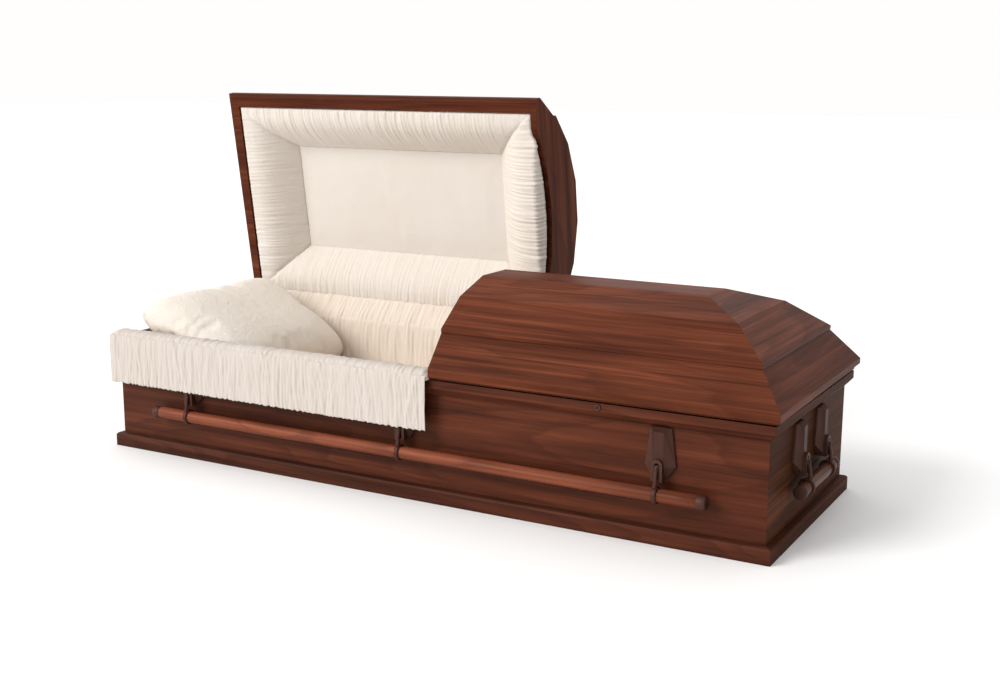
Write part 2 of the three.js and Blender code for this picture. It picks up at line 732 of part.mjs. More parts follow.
function armGeometry() {
  const eyeY = -PIVOT_OUT;
  const ringRadius = BAR_DIAMETER / 2 + RING_WALL;
  const half = ARM_WIDTH / 2;
  const eye = alongX(circle(eyeY, PIVOT_Z, EYE_RADIUS, ROUND_SIDES), -half, half);
  const ring = alongX(circle(-BAR_OUT, BAR_Z, ringRadius, ROUND_SIDES), -RING_WIDTH / 2, RING_WIDTH / 2);
  const outer = [[eyeY - EYE_RADIUS, PIVOT_Z], [-BAR_OUT - ringRadius, BAR_Z]];
  const inner = [
    [-BAR_OUT + EYE_RADIUS, BAR_Z + BAR_DIAMETER / 2],
    [eyeY + EYE_RADIUS / 2, PIVOT_Z - EYE_RADIUS / 2],
  ];
  const middle = ([[y1, z1], [y2, z2]], shift) => [(y1 + y2) / 2 + shift, (z1 + z2) / 2];
  const shape = new THREE.Shape();
  shape.moveTo(...outer[0]);
  shape.quadraticCurveTo(...middle(outer, -ARM_BULGE), ...outer[1]);
  shape.lineTo(-BAR_OUT, BAR_Z);
  shape.lineTo(...inner[0]);
  shape.quadraticCurveTo(...middle(inner, -ARM_WAIST), ...inner[1]);
  shape.lineTo(eyeY, PIVOT_Z);
  shape.closePath();
  const outline = shape.getPoints(ARC_SIDES / 2).slice(0, -1).map(({ x, y }) => [x, y]);
  const strap = alongX(outline, -half, half);
  const barHole = alongX(
    circle(-BAR_OUT, BAR_Z, BAR_DIAMETER / 2 + FIT, ROUND_SIDES),
    -RING_WIDTH,
    RING_WIDTH,
  );
  const pinHole = alongX(
    circle(eyeY, PIVOT_Z, PIN_RADIUS + PIN_CLEARANCE, PIN_SIDES),
    -RING_WIDTH,
    RING_WIDTH,
  );
  return geometryOf(joined(eye, strap, ring).subtract(solidOf(barHole)).subtract(solidOf(pinHole)));
}

function barGeometry(length) {
  const radius = BAR_DIAMETER / 2;
  const half = length / 2;
  const profile = [
    [0, -half],
    [radius - BAR_CHAMFER, -half],
    [radius, -half + BAR_CHAMFER],
    [radius, half - BAR_CHAMFER],
    [radius - BAR_CHAMFER, half],
    [0, half],
  ];
  const bar = new THREE.LatheGeometry(profile.map(([r, h]) => new THREE.Vector2(r, h)), ROUND_SIDES);
  bar.rotateZ(Math.PI / 2);
  bar.rotateX(Math.PI / ROUND_SIDES);
  bar.translate(0, -BAR_OUT, BAR_Z);
  return geometryOf(solidOf(bar));
}

function addHandle(name, wall, turn, shift, places, barLength) {
  const group = new THREE.Group();
  group.position.set(...wall);
  group.rotation.z = turn;
  const set = new THREE.Group();
  set.position.x = shift;
  group.add(set);
  casket.add(group);
  places.forEach((x, i) => {
    place(`${name}_ear_${i + 1}`, earGeometry(), BRONZE, set).position.x = x;
    place(`${name}_arm_${i + 1}`, armGeometry(), BRONZE, set).position.x = x;
  });
  place(`${name}_bar`, barGeometry(barLength), WOOD_BAR, set);
}

function addHandles() {
  const long = [-LONG_EAR_SPACING, 0, LONG_EAR_SPACING];
  const short = [-END_EAR_SPACING / 2, END_EAR_SPACING / 2];
  addHandle("front_handle", [0, -BOX_Y, 0], 0, LONG_HANDLE_SHIFT, long, LONG_BAR);
  addHandle("back_handle", [0, BOX_Y, 0], Math.PI, -LONG_HANDLE_SHIFT, long, LONG_BAR);
  addHandle("foot_handle", [BOX_X, 0, 0], Math.PI / 2, -END_HANDLE_TO_FRONT, short, END_BAR);
  addHandle("head_handle", [-BOX_X, 0, 0], -Math.PI / 2, END_HANDLE_TO_FRONT, short, END_BAR);
}

addBox();
addEscutcheon();
addLid(HEAD_LID, openLidContents);
addLid(FOOT_LID, casket);
addHinge(HEAD_LID, openLidContents);
addHinge(FOOT_LID, casket);
addLining();
addMattress();
addPillow();
addOverlay();
addHandles();

export default casket;
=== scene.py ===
"""Looks for the half-couch casket.

Metres, +X foot end, -Y front, +Z up, origin on the underside.
"""
import math

import bmesh
import bpy
import numpy as np
from mathutils import Matrix, Vector


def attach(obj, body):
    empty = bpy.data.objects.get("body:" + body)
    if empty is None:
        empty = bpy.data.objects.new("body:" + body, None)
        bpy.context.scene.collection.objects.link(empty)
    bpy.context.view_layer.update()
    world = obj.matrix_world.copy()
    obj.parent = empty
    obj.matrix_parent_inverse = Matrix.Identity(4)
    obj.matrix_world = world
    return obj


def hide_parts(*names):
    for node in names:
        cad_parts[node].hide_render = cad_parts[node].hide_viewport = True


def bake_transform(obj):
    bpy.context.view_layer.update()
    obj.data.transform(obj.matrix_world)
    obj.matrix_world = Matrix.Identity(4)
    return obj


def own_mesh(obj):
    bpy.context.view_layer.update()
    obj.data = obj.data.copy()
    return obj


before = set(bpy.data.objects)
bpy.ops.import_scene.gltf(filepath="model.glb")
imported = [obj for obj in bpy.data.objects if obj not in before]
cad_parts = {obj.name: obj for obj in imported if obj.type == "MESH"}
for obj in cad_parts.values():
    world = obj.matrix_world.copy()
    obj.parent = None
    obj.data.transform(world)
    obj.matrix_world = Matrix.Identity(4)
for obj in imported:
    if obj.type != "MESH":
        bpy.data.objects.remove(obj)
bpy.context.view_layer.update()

# Places shared with the solids
BOX_X = 1.0315
BOX_Y = 0.329
WALL = 0.02
LID_X = 1.0626
LID_Y = 0.3601
RAIL_WIDTH = 0.042
RAIL_BOTTOM = 0.3467
RAIL_TOP = 0.376
HEADER = 0.0203
HEAD_CUT = 0.0995
FOOT_CUT = 0.1025
ARCH_HALF = 0.2701
ARCH_RISE = 0.065
PANEL_Z = 0.4427
BORDER_ALONG = 0.162
BORDER_ACROSS = 0.147
HINGE = Vector((0.0, 0.3596, 0.3565))
OPEN_ANGLE = math.radians(81.85)
MATTRESS_TOP = 0.195
PIVOT_Z = 0.2015
PIVOT_OUT = 0.025
BAR_OUT = 0.030
BAR_Z = 0.134
BAR_RADIUS = 0.018
BAR_TIP = 0.024
LONG_BAR = 1.763
END_BAR = 0.310
LONG_SHIFT = 0.010
END_TO_FRONT = 0.016
LONG_EARS = (-0.749, 0.0, 0.749)
END_EARS = (-0.0935, 0.0935)

OPEN = (
    Matrix.Translation(HINGE)
    @ Matrix.Rotation(-OPEN_ANGLE, 4, "X")
    @ Matrix.Translation(-HINGE)
)


# Camera fitted to the photograph: azimuth, elevation and roll in degrees
CAMERA_ANGLES = (28.99, 11.607, 0.269)
CAMERA_PLACE = (1.9414, -3.2840, 1.1598)
SENSOR_WIDTH = 36.0
FOCAL_PIXELS = 1336.05
FRAME_PIXELS = 1000.0
CLIP_END = 100.0


def add_camera():
    azimuth, elevation, roll = (math.radians(angle) for angle in CAMERA_ANGLES)
    back = Vector((
        math.sin(azimuth) * math.cos(elevation),
        -math.cos(azimuth) * math.cos(elevation),
        math.sin(elevation),
    ))
    level = (-back).cross(Vector((0, 0, 1))).normalized()
    upright = level.cross(-back)
    right = math.cos(roll) * level + math.sin(roll) * upright
    up = -math.sin(roll) * level + math.cos(roll) * upright
    data = bpy.data.cameras.new("camera")
    data.sensor_width = SENSOR_WIDTH
    data.lens = SENSOR_WIDTH * FOCAL_PIXELS / FRAME_PIXELS
    data.clip_end = CLIP_END
    camera = bpy.data.objects.new("camera", data)
    turn = Matrix((right, up, back)).transposed().to_4x4()
    camera.matrix_world = Matrix.Translation(CAMERA_PLACE) @ turn
    bpy.context.scene.collection.objects.link(camera)
    bpy.context.scene.camera = camera


SUN_STRENGTH = 2.0
SUN_COLOR = (1.0, 0.98, 0.95)
SUN_ANGLE = math.radians(30)
SUN_PLACE = Vector((-2.2, -3.0, 2.6))
SUN_TARGET = Vector((0, 0, 0.3))


def add_sun():
    data = bpy.data.lights.new("key", "SUN")
    data.energy = SUN_STRENGTH
    data.color = SUN_COLOR
    data.angle = SUN_ANGLE
    lamp = bpy.data.objects.new("key", data)
    lamp.location = SUN_PLACE
    aim = SUN_TARGET - SUN_PLACE
    lamp.rotation_mode = "QUATERNION"
    lamp.rotation_quaternion = aim.to_track_quat("-Z", "Y")
    bpy.context.scene.collection.objects.link(lamp)


WORLD_COLOR = (1.0, 0.99, 0.985, 1)
# A dark screen low at the foot end: how its share of the light runs with the direction
WORLD_SCREEN = {
    "X": {"From Min": 0.05, "From Max": 0.60, "To Min": 0.0, "To Max": 0.85},
    "Z": {"From Min": 0.30, "From Max": 0.80, "To Min": 1.0, "To Max": 0.0},
}
FLOOR_SIZE = 60
FLOOR_COLOR = (0.97, 0.97, 0.97)
FLOOR_ROUGHNESS = 0.8


def add_studio():
    bpy.context.scene.view_settings.view_transform = "Standard"
    world = bpy.data.worlds.new("studio")
    bpy.context.scene.world = world
    world.use_nodes = True
    background = world.node_tree.nodes["Background"]
    background.inputs["Color"].default_value = WORLD_COLOR
    nodes, links = world.node_tree.nodes, world.node_tree.links
    direction = nodes.new("ShaderNodeTexCoord")
    parts = nodes.new("ShaderNodeSeparateXYZ")
    links.new(direction.outputs["Generated"], parts.inputs["Vector"])
    shares = []
    for axis, limits in WORLD_SCREEN.items():
        share = nodes.new("ShaderNodeMapRange")
        share.interpolation_type = "SMOOTHSTEP"
        for key, value in limits.items():
            share.inputs[key].default_value = value
        links.new(parts.outputs[axis], share.inputs["Value"])
        shares.append(share.outputs["Result"])
    screened = nodes.new("ShaderNodeMath")
    screened.operation = "MULTIPLY"
    kept = nodes.new("ShaderNodeMath")
    kept.operation = "SUBTRACT"
    kept.inputs[0].default_value = 1.0
    links.new(shares[0], screened.inputs[0])
    links.new(shares[1], screened.inputs[1])
    links.new(screened.outputs[0], kept.inputs[1])
    links.new(kept.outputs[0], background.inputs["Strength"])
    add_sun()
    bpy.ops.mesh.primitive_plane_add(size=FLOOR_SIZE)
    floor = bpy.context.object
    floor.name = "floor"
    floor.data.materials.append(plain_material("floor_white", FLOOR_COLOR, FLOOR_ROUGHNESS))


class Nodes:
    """A short way to add shader nodes and join them."""

    def __init__(self, name):
        self.material = bpy.data.materials.new(name)
        self.material.use_nodes = True
        self.tree = self.material.node_tree
        self.shader = self.tree.nodes["Principled BSDF"]

    def add(self, kind, inputs=None, **settings):
        node = self.tree.nodes.new(f"ShaderNode{kind}")
        for key, value in settings.items():
            setattr(node, key, value)
        for key, value in (inputs or {}).items():
            self.put(node.inputs[key], value)
        return node

    def put(self, socket, value):
        if isinstance(value, bpy.types.NodeSocket):
            self.tree.links.new(value, socket)
        else:
            socket.default_value = value

    def math(self, operation, a, b=0.0, clamp=False):
        node = self.add("Math", operation=operation, use_clamp=clamp)
        self.put(node.inputs[0], a)
        self.put(node.inputs[1], b)
        return node.outputs[0]

    def noise(self, vector, scale, detail=3.0, roughness=0.5, distortion=0.0):
        node = self.add("TexNoise", {
            "Vector": vector,
            "Scale": scale,
            "Detail": detail,
            "Roughness": roughness,
            "Distortion": distortion,
        })
        return node.outputs["Fac"]

    def ramp(self, value, stops):
        node = self.add("ValToRGB", {"Fac": value})
        elements = node.color_ramp.elements
        while len(elements) < len(stops):
            elements.new(0.5)
        for element, (place, color) in zip(elements, stops):
            element.position = place
            element.color = (*color, 1)
        return node.outputs["Color"]

    def mix(self, factor, a, b, blend="MIX"):
        node = self.add("Mix", data_type="RGBA", blend_type=blend)
        self.put(node.inputs["Factor"], factor)
        self.put(node.inputs["A"], a)
        self.put(node.inputs["B"], b)
        return node.outputs["Result"]

    def scaled(self, vector, scale, location=(0, 0, 0), rotation=(0, 0, 0), kind="POINT"):
        inputs = {"Vector": vector, "Rotation": rotation, "Scale": scale}
        node = self.add("Mapping", inputs, vector_type=kind)
        if kind == "POINT":
            node.inputs["Location"].default_value = location
        return node.outputs["Vector"]

    def bump(self, height, strength, distance):
        node = self.add("Bump", {"Height": height, "Strength": strength, "Distance": distance})
        return node.outputs["Normal"]

    def finish(self, **sockets):
        for key, value in sockets.items():
            self.put(self.shader.inputs[key.replace("_", " ")], value)
        return self.material


def grey(level):
    return (level, level, level)


def rgba(color):
    return (*color, 1.0)


def plain_material(name, color, roughness):
    n = Nodes(name)
    return n.finish(Base_Color=rgba(color), Roughness=roughness)


WOOD_LIGHT = (0.172, 0.050, 0.0245)
WOOD_MIDDLE = (0.096, 0.0270, 0.0135)
WOOD_DEEP = (0.046, 0.0135, 0.0075)
# Dark streak colour of the grain, also the colour of the painted shade in recesses
WOOD_STREAK_AND_SHADE = (0.022, 0.0072, 0.0046)
WOOD_SHEEN_TINT = (1.0, 0.74, 0.62)
TURNED_OFFSET = 3.7
END_FACE_MARGIN = 0.12
RECESS_REACH = 0.022


def wood_material(
    name, shift, on_open_lid=False, turned=None, tone=(1, 1, 1), gloss=0.40, shine=0.12
):
    """Stained softwood with its grain along X.

    The grain runs along Y where turned is 1, or with turned left out where a face looks along X.
    shift moves the figure along the grain, gloss is the roughness and shine the specular level.
    """
    n = Nodes(name)
    coords = n.add("TexCoord")
    place, normal = coords.outputs["Object"], coords.outputs["Normal"]
    if on_open_lid:
        back = Matrix.Rotation(OPEN_ANGLE, 3, "X")
        home = HINGE - back @ HINGE
        place = n.scaled(place, (1, 1, 1), home, (OPEN_ANGLE, 0, 0))
        normal = n.scaled(normal, (1, 1, 1), rotation=(OPEN_ANGLE, 0, 0), kind="VECTOR")
    parts = n.add("SeparateXYZ", {"Vector": place})
    x, y, z = parts.outputs
    if turned is None:
        facing = n.add("SeparateXYZ", {"Vector": normal})
        turned = n.math(
            "GREATER_THAN",
            n.math("ABSOLUTE", facing.outputs["X"]),
            n.math("ADD", n.math("ABSOLUTE", facing.outputs["Y"]), END_FACE_MARGIN),
        )
    swap = n.add("Mix", data_type="FLOAT")
    n.put(swap.inputs["Factor"], turned)
    n.put(swap.inputs["A"], x)
    n.put(swap.inputs["B"], y)
    along = swap.outputs["Result"]
    swap_back = n.add("Mix", data_type="FLOAT")
    n.put(swap_back.inputs["Factor"], turned)
    n.put(swap_back.inputs["A"], y)
    n.put(swap_back.inputs["B"], x)
    across = swap_back.outputs["Result"]
    grain = n.add("CombineXYZ", {
        "X": n.math("ADD", along, shift),
        "Y": n.math("ADD", across, n.math("MULTIPLY", turned, TURNED_OFFSET)),
        "Z": z,
    }).outputs["Vector"]

    knots = n.add("TexVoronoi", {
        "Vector": n.scaled(grain, (1.35, 4.2, 4.2)),
        "Scale": 1.0,
        "Randomness": 1.0,
    }, feature="F1")
    knot_distance = n.math("MULTIPLY", knots.outputs["Distance"], 5.5)
    near_knot = n.math("SUBTRACT", 1.0, knot_distance, clamp=True)

    drift = n.noise(n.scaled(grain, (0.55, 4.0, 4.0)), 1.0, 2.0, 0.45, 0.25)
    height = n.math("ADD", n.math("MULTIPLY", drift, 15.0), n.math("MULTIPLY", near_knot, 1.6))
    wobble = n.noise(n.scaled(grain, (2.5, 40.0, 40.0)), 1.0, 2.0)
    height = n.math("ADD", height, n.math("MULTIPLY", wobble, 0.5))
    ring = n.math("FRACT", height)
    ring_line = n.ramp(ring, [
        (0.0, grey(0.0)),
        (0.55, grey(0.28)),
        (0.86, grey(0.95)),
        (0.93, grey(1.0)),
        (1.0, grey(0.0)),
    ])
    fibre = n.noise(n.scaled(grain, (5.0, 260.0, 260.0)), 1.0, 3.0, 0.6)
    pores = n.noise(n.scaled(grain, (22.0, 900.0, 900.0)), 1.0, 1.0)
    glaze = n.noise(n.scaled(grain, (1.1, 15.0, 15.0)), 1.0, 5.0, 0.62, 0.25)
    streaks = n.noise(n.scaled(grain, (0.9, 62.0, 62.0)), 1.0, 3.0, 0.6, 0.2)

    banding = n.noise(n.scaled(grain, (0.8, 58.0, 58.0)), 1.0, 5.0, 0.65, 0.2)
    mottled = n.math("ADD", n.math("MULTIPLY", glaze, 0.55), n.math("MULTIPLY", banding, 0.45))
    base = n.ramp(mottled, [(0.36, WOOD_DEEP), (0.49, WOOD_MIDDLE), (0.63, WOOD_LIGHT)])
    lined = n.mix(n.math("MULTIPLY", ring_line, 0.42), base, rgba(WOOD_DEEP))
    deep = n.ramp(streaks, [(0.56, grey(0.0)), (0.72, grey(0.7))])
    streaked = n.mix(deep, lined, rgba(WOOD_STREAK_AND_SHADE))
    fibred = n.mix(n.math("MULTIPLY", fibre, 0.45), streaked, rgba(WOOD_MIDDLE), "OVERLAY")
    knot_core = n.ramp(near_knot, [(0.72, grey(0.0)), (0.90, grey(0.9))])
    color = n.mix(knot_core, fibred, rgba(WOOD_STREAK_AND_SHADE))
    # Painted shade: ambient occlusion pulls the colour toward the dark streak colour in recesses,
    # under ledges and where parts meet
    recess = n.add("AmbientOcclusion", {"Distance": RECESS_REACH}, samples=4)
    painted_recess_shade = n.ramp(recess.outputs["AO"], [(0.30, grey(0.72)), (0.72, grey(0.0))])
    color = n.mix(painted_recess_shade, color, rgba(WOOD_STREAK_AND_SHADE))
    toned = n.mix(1.0, color, rgba(tone), "MULTIPLY")
    rough = n.math("ADD", n.math("MULTIPLY", fibre, 0.14), gloss - 0.07)
    relief = n.math("ADD", n.math("MULTIPLY", fibre, 0.5), n.math("MULTIPLY", pores, 0.5))
    relief = n.math("SUBTRACT", relief, n.math("MULTIPLY", ring_line, 0.5))
    return n.finish(
        Base_Color=toned,
        Roughness=rough,
        Normal=n.bump(relief, 0.18, 0.0006),
        Specular_IOR_Level=shine,
        Specular_Tint=rgba(WOOD_SHEEN_TINT),
    )


def metal_material(name, color, worn_and_highlit_edge, roughness=0.42, metallic=0.75):
    """Dark bronze finish with faint mottling and a lighter edge, partly wear and partly painted
    highlight.
    """
    n = Nodes(name)
    place = n.add("TexCoord").outputs["Object"]
    mottle = n.noise(n.scaled(place, (60, 60, 60)), 1.0, 4.0, 0.6)
    speck = n.noise(n.scaled(place, (700, 700, 700)), 1.0, 2.0)
    # Lighter convex edges: partly rubbed wear, partly a painted highlight
    pointed = n.add("NewGeometry").outputs["Pointiness"]
    edge = n.ramp(pointed, [(0.51, grey(0.0)), (0.60, grey(1.0))])
    darker = tuple(0.75 * c for c in color)
    lighter = tuple(1.3 * c for c in color)
    shade = n.mix(mottle, rgba(darker), rgba(lighter))
    color_out = n.mix(n.math("MULTIPLY", edge, 0.6), shade, rgba(worn_and_highlit_edge))
    rough = n.math("ADD", n.math("MULTIPLY", mottle, 0.16), roughness - 0.08)
    return n.finish(
        Base_Color=color_out,
        Roughness=rough,
        Metallic=metallic,
        Specular_IOR_Level=0.2,
        Normal=n.bump(n.math("ADD", speck, n.math("MULTIPLY", mottle, 2.0)), 0.12, 0.0004),
    )


def crepe_material(name, color, ripple, strength=0.5, depth=0.0016):
    """Crinkled crepe over a close weave: ripple is how close its creases lie along each axis."""
    n = Nodes(name)
    place = n.add("TexCoord").outputs["Object"]
    crinkle = n.noise(n.scaled(place, tuple(420 * r for r in ripple)), 1.0, 4.0, 0.65, 0.8)
    broad = n.noise(n.scaled(place, tuple(120 * r for r in ripple)), 1.0, 3.0, 0.5, 0.4)
    weave = n.noise(n.scaled(place, (2600, 2600, 2600)), 1.0, 1.0)
    tint = n.noise(n.scaled(place, (5, 5, 5)), 1.0, 3.0)
    pale = tuple(min(1.0, 1.05 * c) for c in color)
    warm = (0.97 * color[0], 0.93 * color[1], 0.86 * color[2])
    shade = n.mix(tint, rgba(pale), rgba(warm))
    # Painted shade: the crinkle pattern that makes the bump also darkens the colour a little
    shade = n.mix(n.math("MULTIPLY", crinkle, 0.35), shade, rgba(tuple(0.86 * c for c in color)))
    relief = n.math("ADD", crinkle, n.math("MULTIPLY", broad, 1.6))
    relief = n.math("ADD", relief, n.math("MULTIPLY", weave, 0.15))
    return n.finish(
        Base_Color=shade,
        Roughness=0.88,
        Sheen_Weight=0.12,
        Specular_IOR_Level=0.2,
        Sheen_Roughness=0.5,
        Normal=n.bump(relief, strength, depth),
    )


def add_object(name, mesh, material, body=None):
    piece = bpy.data.objects.new(name, mesh)
    bpy.context.scene.collection.objects.link(piece)
    piece.data.materials.append(material)
    for polygon in mesh.polygons:
        polygon.use_smooth = True
    if body is not None:
        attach(piece, body)
    return piece


def grid_mesh(name, points, around=False, ends=False):
    """A quad mesh from an array of rows x columns x 3.

    around joins the last column to the first, and ends the last row to the first.
    """
    rows, columns = points.shape[:2]
    index = np.arange(rows * columns).reshape(rows, columns)
    if around:
        index = np.hstack([index, index[:, :1]])
    if ends:
        index = np.vstack([index, index[:1]])
    corners = [index[:-1, :-1], index[:-1, 1:], index[1:, 1:], index[1:, :-1]]
    quads = np.stack(corners, axis=-1)
    mesh = bpy.data.meshes.new(name)
    mesh.from_pydata(points.reshape(-1, 3).tolist(), [], quads.reshape(-1, 4).tolist())
    mesh.update()
    return mesh


def moved(points, matrix):
    flat = points.reshape(-1, 3) @ np.array(matrix.to_3x3()).T + np.array(matrix.translation)
    return flat.reshape(points.shape)


def smooth_step(value, low, high):
    t = np.clip((value - low) / (high - low), 0, 1)
    return t * t * (3 - 2 * t)


def pleats(run, seed, mean, spread=0.45, sharp=0.75):
    """Round puffs between sharp valleys at uneven spacing along run, from 0 to 1."""
    rng = np.random.default_rng(seed)
    low, high = float(run.min()), float(run.max())
    count = int((high - low) / (mean * (1 - spread))) + 4
    steps = mean * rng.uniform(1 - spread, 1 + spread, count)
    edges = low - mean + np.concatenate([[0.0], np.cumsum(steps)])
    rise = rng.uniform(0.35, 1.0, count + 1)
    cell = np.clip(np.searchsorted(edges, run) - 1, 0, count - 1)
    share = np.clip((run - edges[cell]) / (edges[cell + 1] - edges[cell]), 0, 1)
    return rise[cell] * np.sin(np.pi * share) ** sharp


PLEAT_LEAN = 0.006


def gathers(run, across, seed, mean, change=3):
    """Pleats along run that split, fade and wander as across goes from 0 to 1."""
    total = np.zeros_like(run)
    for i in range(change):
        centre = i / (change - 1)
        weight = np.clip(1 - np.abs(across - centre) * (change - 1), 0, 1)
        lean = PLEAT_LEAN * np.sin(9.0 * run + 2.0 * i) * (across - centre)
        total += weight * pleats(run + lean, seed + i, mean)
    return total


CURVE_STEPS = 24


def smooth_curve(points, count):
    """Catmull-Rom through the points, sampled at count places of equal spacing."""
    p = np.asarray(points, float)
    p = np.vstack([2 * p[0] - p[1], p, 2 * p[-1] - p[-2]])
    fine = []
    for a, b, c, d in zip(p[:-3], p[1:-2], p[2:-1], p[3:]):
        t = np.linspace(0, 1, CURVE_STEPS, endpoint=False)[:, None]
        square = (2 * a - 5 * b + 4 * c - d) * t**2
        cube = (3 * b - a - 3 * c + d) * t**3
        fine.append(0.5 * (2 * b + (c - a) * t + square + cube))
    fine = np.vstack([*fine, p[-2][None]])
    lengths = np.concatenate([[0], np.cumsum(np.linalg.norm(np.diff(fine, axis=0), axis=1))])
    even = np.linspace(0, lengths[-1], count)
    return np.stack([np.interp(even, lengths, fine[:, k]) for k in range(fine.shape[1])], axis=1)


def curve_normals(curve):
    """Unit normals of a 2-D curve, turned a quarter to the left of its run."""
    tangent = np.gradient(curve, axis=0)
    tangent /= np.linalg.norm(tangent, axis=1, keepdims=True)
    return np.stack([-tangent[:, 1], tangent[:, 0]], axis=1)


def thicken(piece, thickness, offset=-1.0):
    modifier = piece.modifiers.new("cloth", "SOLIDIFY")
    modifier.thickness = thickness
    modifier.offset = offset


def soften(piece, width, segments=2, angle=28):
    modifier = piece.modifiers.new("edges", "BEVEL")
    modifier.width = width
    modifier.segments = segments
    modifier.limit_method = "ANGLE"
    modifier.angle_limit = math.radians(angle)
    modifier.harden_normals = False


def combine(name, meshes):
    """One mesh from several."""
    whole = bmesh.new()
    for mesh in meshes:
        whole.from_mesh(mesh)
    result = bpy.data.meshes.new(name)
    whole.to_mesh(result)
    whole.free()
    return result


SAME_POINT = 1e-6


def close_ends(mesh):
    """Fills the open loops of a tube and turns every face outward."""
    work = bmesh.new()
    work.from_mesh(mesh)
    bmesh.ops.remove_doubles(work, verts=work.verts, dist=SAME_POINT)
    bmesh.ops.holes_fill(work, edges=work.edges, sides=0)
    bmesh.ops.recalc_face_normals(work, faces=work.faces)
    work.to_mesh(mesh)
    work.free()
    return mesh


def lathe(profile, centre, sides=48, closed=False):
    """A turned solid: profile pairs are (distance along X, radius) about centre.

    A closed profile joins its last pair to its first, as a ring's section does.
    """
    turn = np.linspace(0, 2 * math.pi, sides, endpoint=False)
    rows = [
        np.stack([np.full_like(turn, run), radius * np.cos(turn), radius * np.sin(turn)], axis=1)
        for run, radius in profile
    ]
    points = np.array(rows) + np.array(centre)
    return close_ends(grid_mesh("turned", points, around=True, ends=closed))


def apply_modifier(piece, modifier):
    bpy.context.view_layer.objects.active = piece
    with bpy.context.temp_override(object=piece, active_object=piece, selected_objects=[piece]):
        bpy.ops.object.modifier_apply(modifier=modifier.name)


FIT = 0.0003


class Lid:
    """The room for the lining inside one lid; inward points from the cut to the lid's end."""

    def __init__(self, name, cut, end, is_open):
        self.name, self.is_open = name, is_open
        self.inward = 1.0 if end > cut else -1.0
        self.x_cut = cut + self.inward * HEADER
        self.x_end = end - self.inward * (RAIL_WIDTH + FIT)
        self.y_edge = LID_Y - RAIL_WIDTH - FIT
        self.length = abs(self.x_end - self.x_cut)

    def place(self, points):
        return moved(points, OPEN) if self.is_open else points


HEAD_LID = Lid("head_lid", HEAD_CUT, -LID_X, True)
FOOT_LID = Lid("foot_lid", FOOT_CUT, LID_X, False)

# Border section: share of its width, and height in the shut lid
BORDER_FACE = [
    (0.000, 0.3760), (0.001, 0.3620), (0.012, 0.3528), (0.050, 0.3492), (0.150, 0.3488),
    (0.290, 0.3514), (0.450, 0.3610), (0.620, 0.3800), (0.790, 0.4060), (0.930, 0.4310),
    (1.000, 0.4440),
]
BORDER_BACK = [(0.900, 0.4425), (0.450, 0.4424), (0.150, 0.4050)]
# Keeps the gathers of one side of a ring from those of the next
SIDE_APART = 3.0
CORNER_FAN = 0.27


def arch_height(y):
    radius = (ARCH_HALF**2 + ARCH_RISE**2) / (2 * ARCH_RISE)
    y = np.clip(np.abs(y), 0, ARCH_HALF)
    return RAIL_BOTTOM + ARCH_RISE - radius + np.sqrt(radius**2 - y**2)


def ring_columns(length, width, inset_x, inset_y, step):
    """Outer and inner points round a rectangle, side by side, fanned at its corners.

    With them come each point's side, its run along the whole ring and its gap to a corner.
    """
    outer, inner, side, run, gap = [], [], [], [], []
    half = width / 2
    sides = [
        (length, inset_x, lambda s: (s, -half), lambda s: (s, -half + inset_y)),
        (width, inset_y, lambda s: (length, s - half), lambda s: (length - inset_x, s - half)),
        (length, inset_x, lambda s: (length - s, half), lambda s: (length - s, half - inset_y)),
        (width, inset_y, lambda s: (0.0, half - s), lambda s: (inset_x, half - s)),
    ]
    total = 0.0
    for number, (extent, inset, out_at, in_at) in enumerate(sides):
        count = int(extent / step)
        for s in np.arange(count) * extent / count:
            zone = min(CORNER_FAN, extent / 2)
            near = min(s, extent - s)
            pulled = inset + near / zone * (zone - inset) if near < zone else near
            along = pulled if s <= extent / 2 else extent - pulled
            outer.append(out_at(s))
            inner.append(in_at(along))
            side.append(number)
            run.append(total + s)
            gap.append(near)
        total += extent
    return [np.array(column) for column in (outer, inner, side, run, gap)]


# Gathers and folds of the border: mean width and depth
BORDER_GATHER = (0.0125, 0.0040)
BORDER_FOLD = (0.043, 0.0036)
MITRE_WIDTH = 0.012
MITRE_DEPTH = 0.003
# How far the border bulges toward the cut under the arch, and how much its gathers add
ARCH_BULGE = (0.0145, 0.0070)


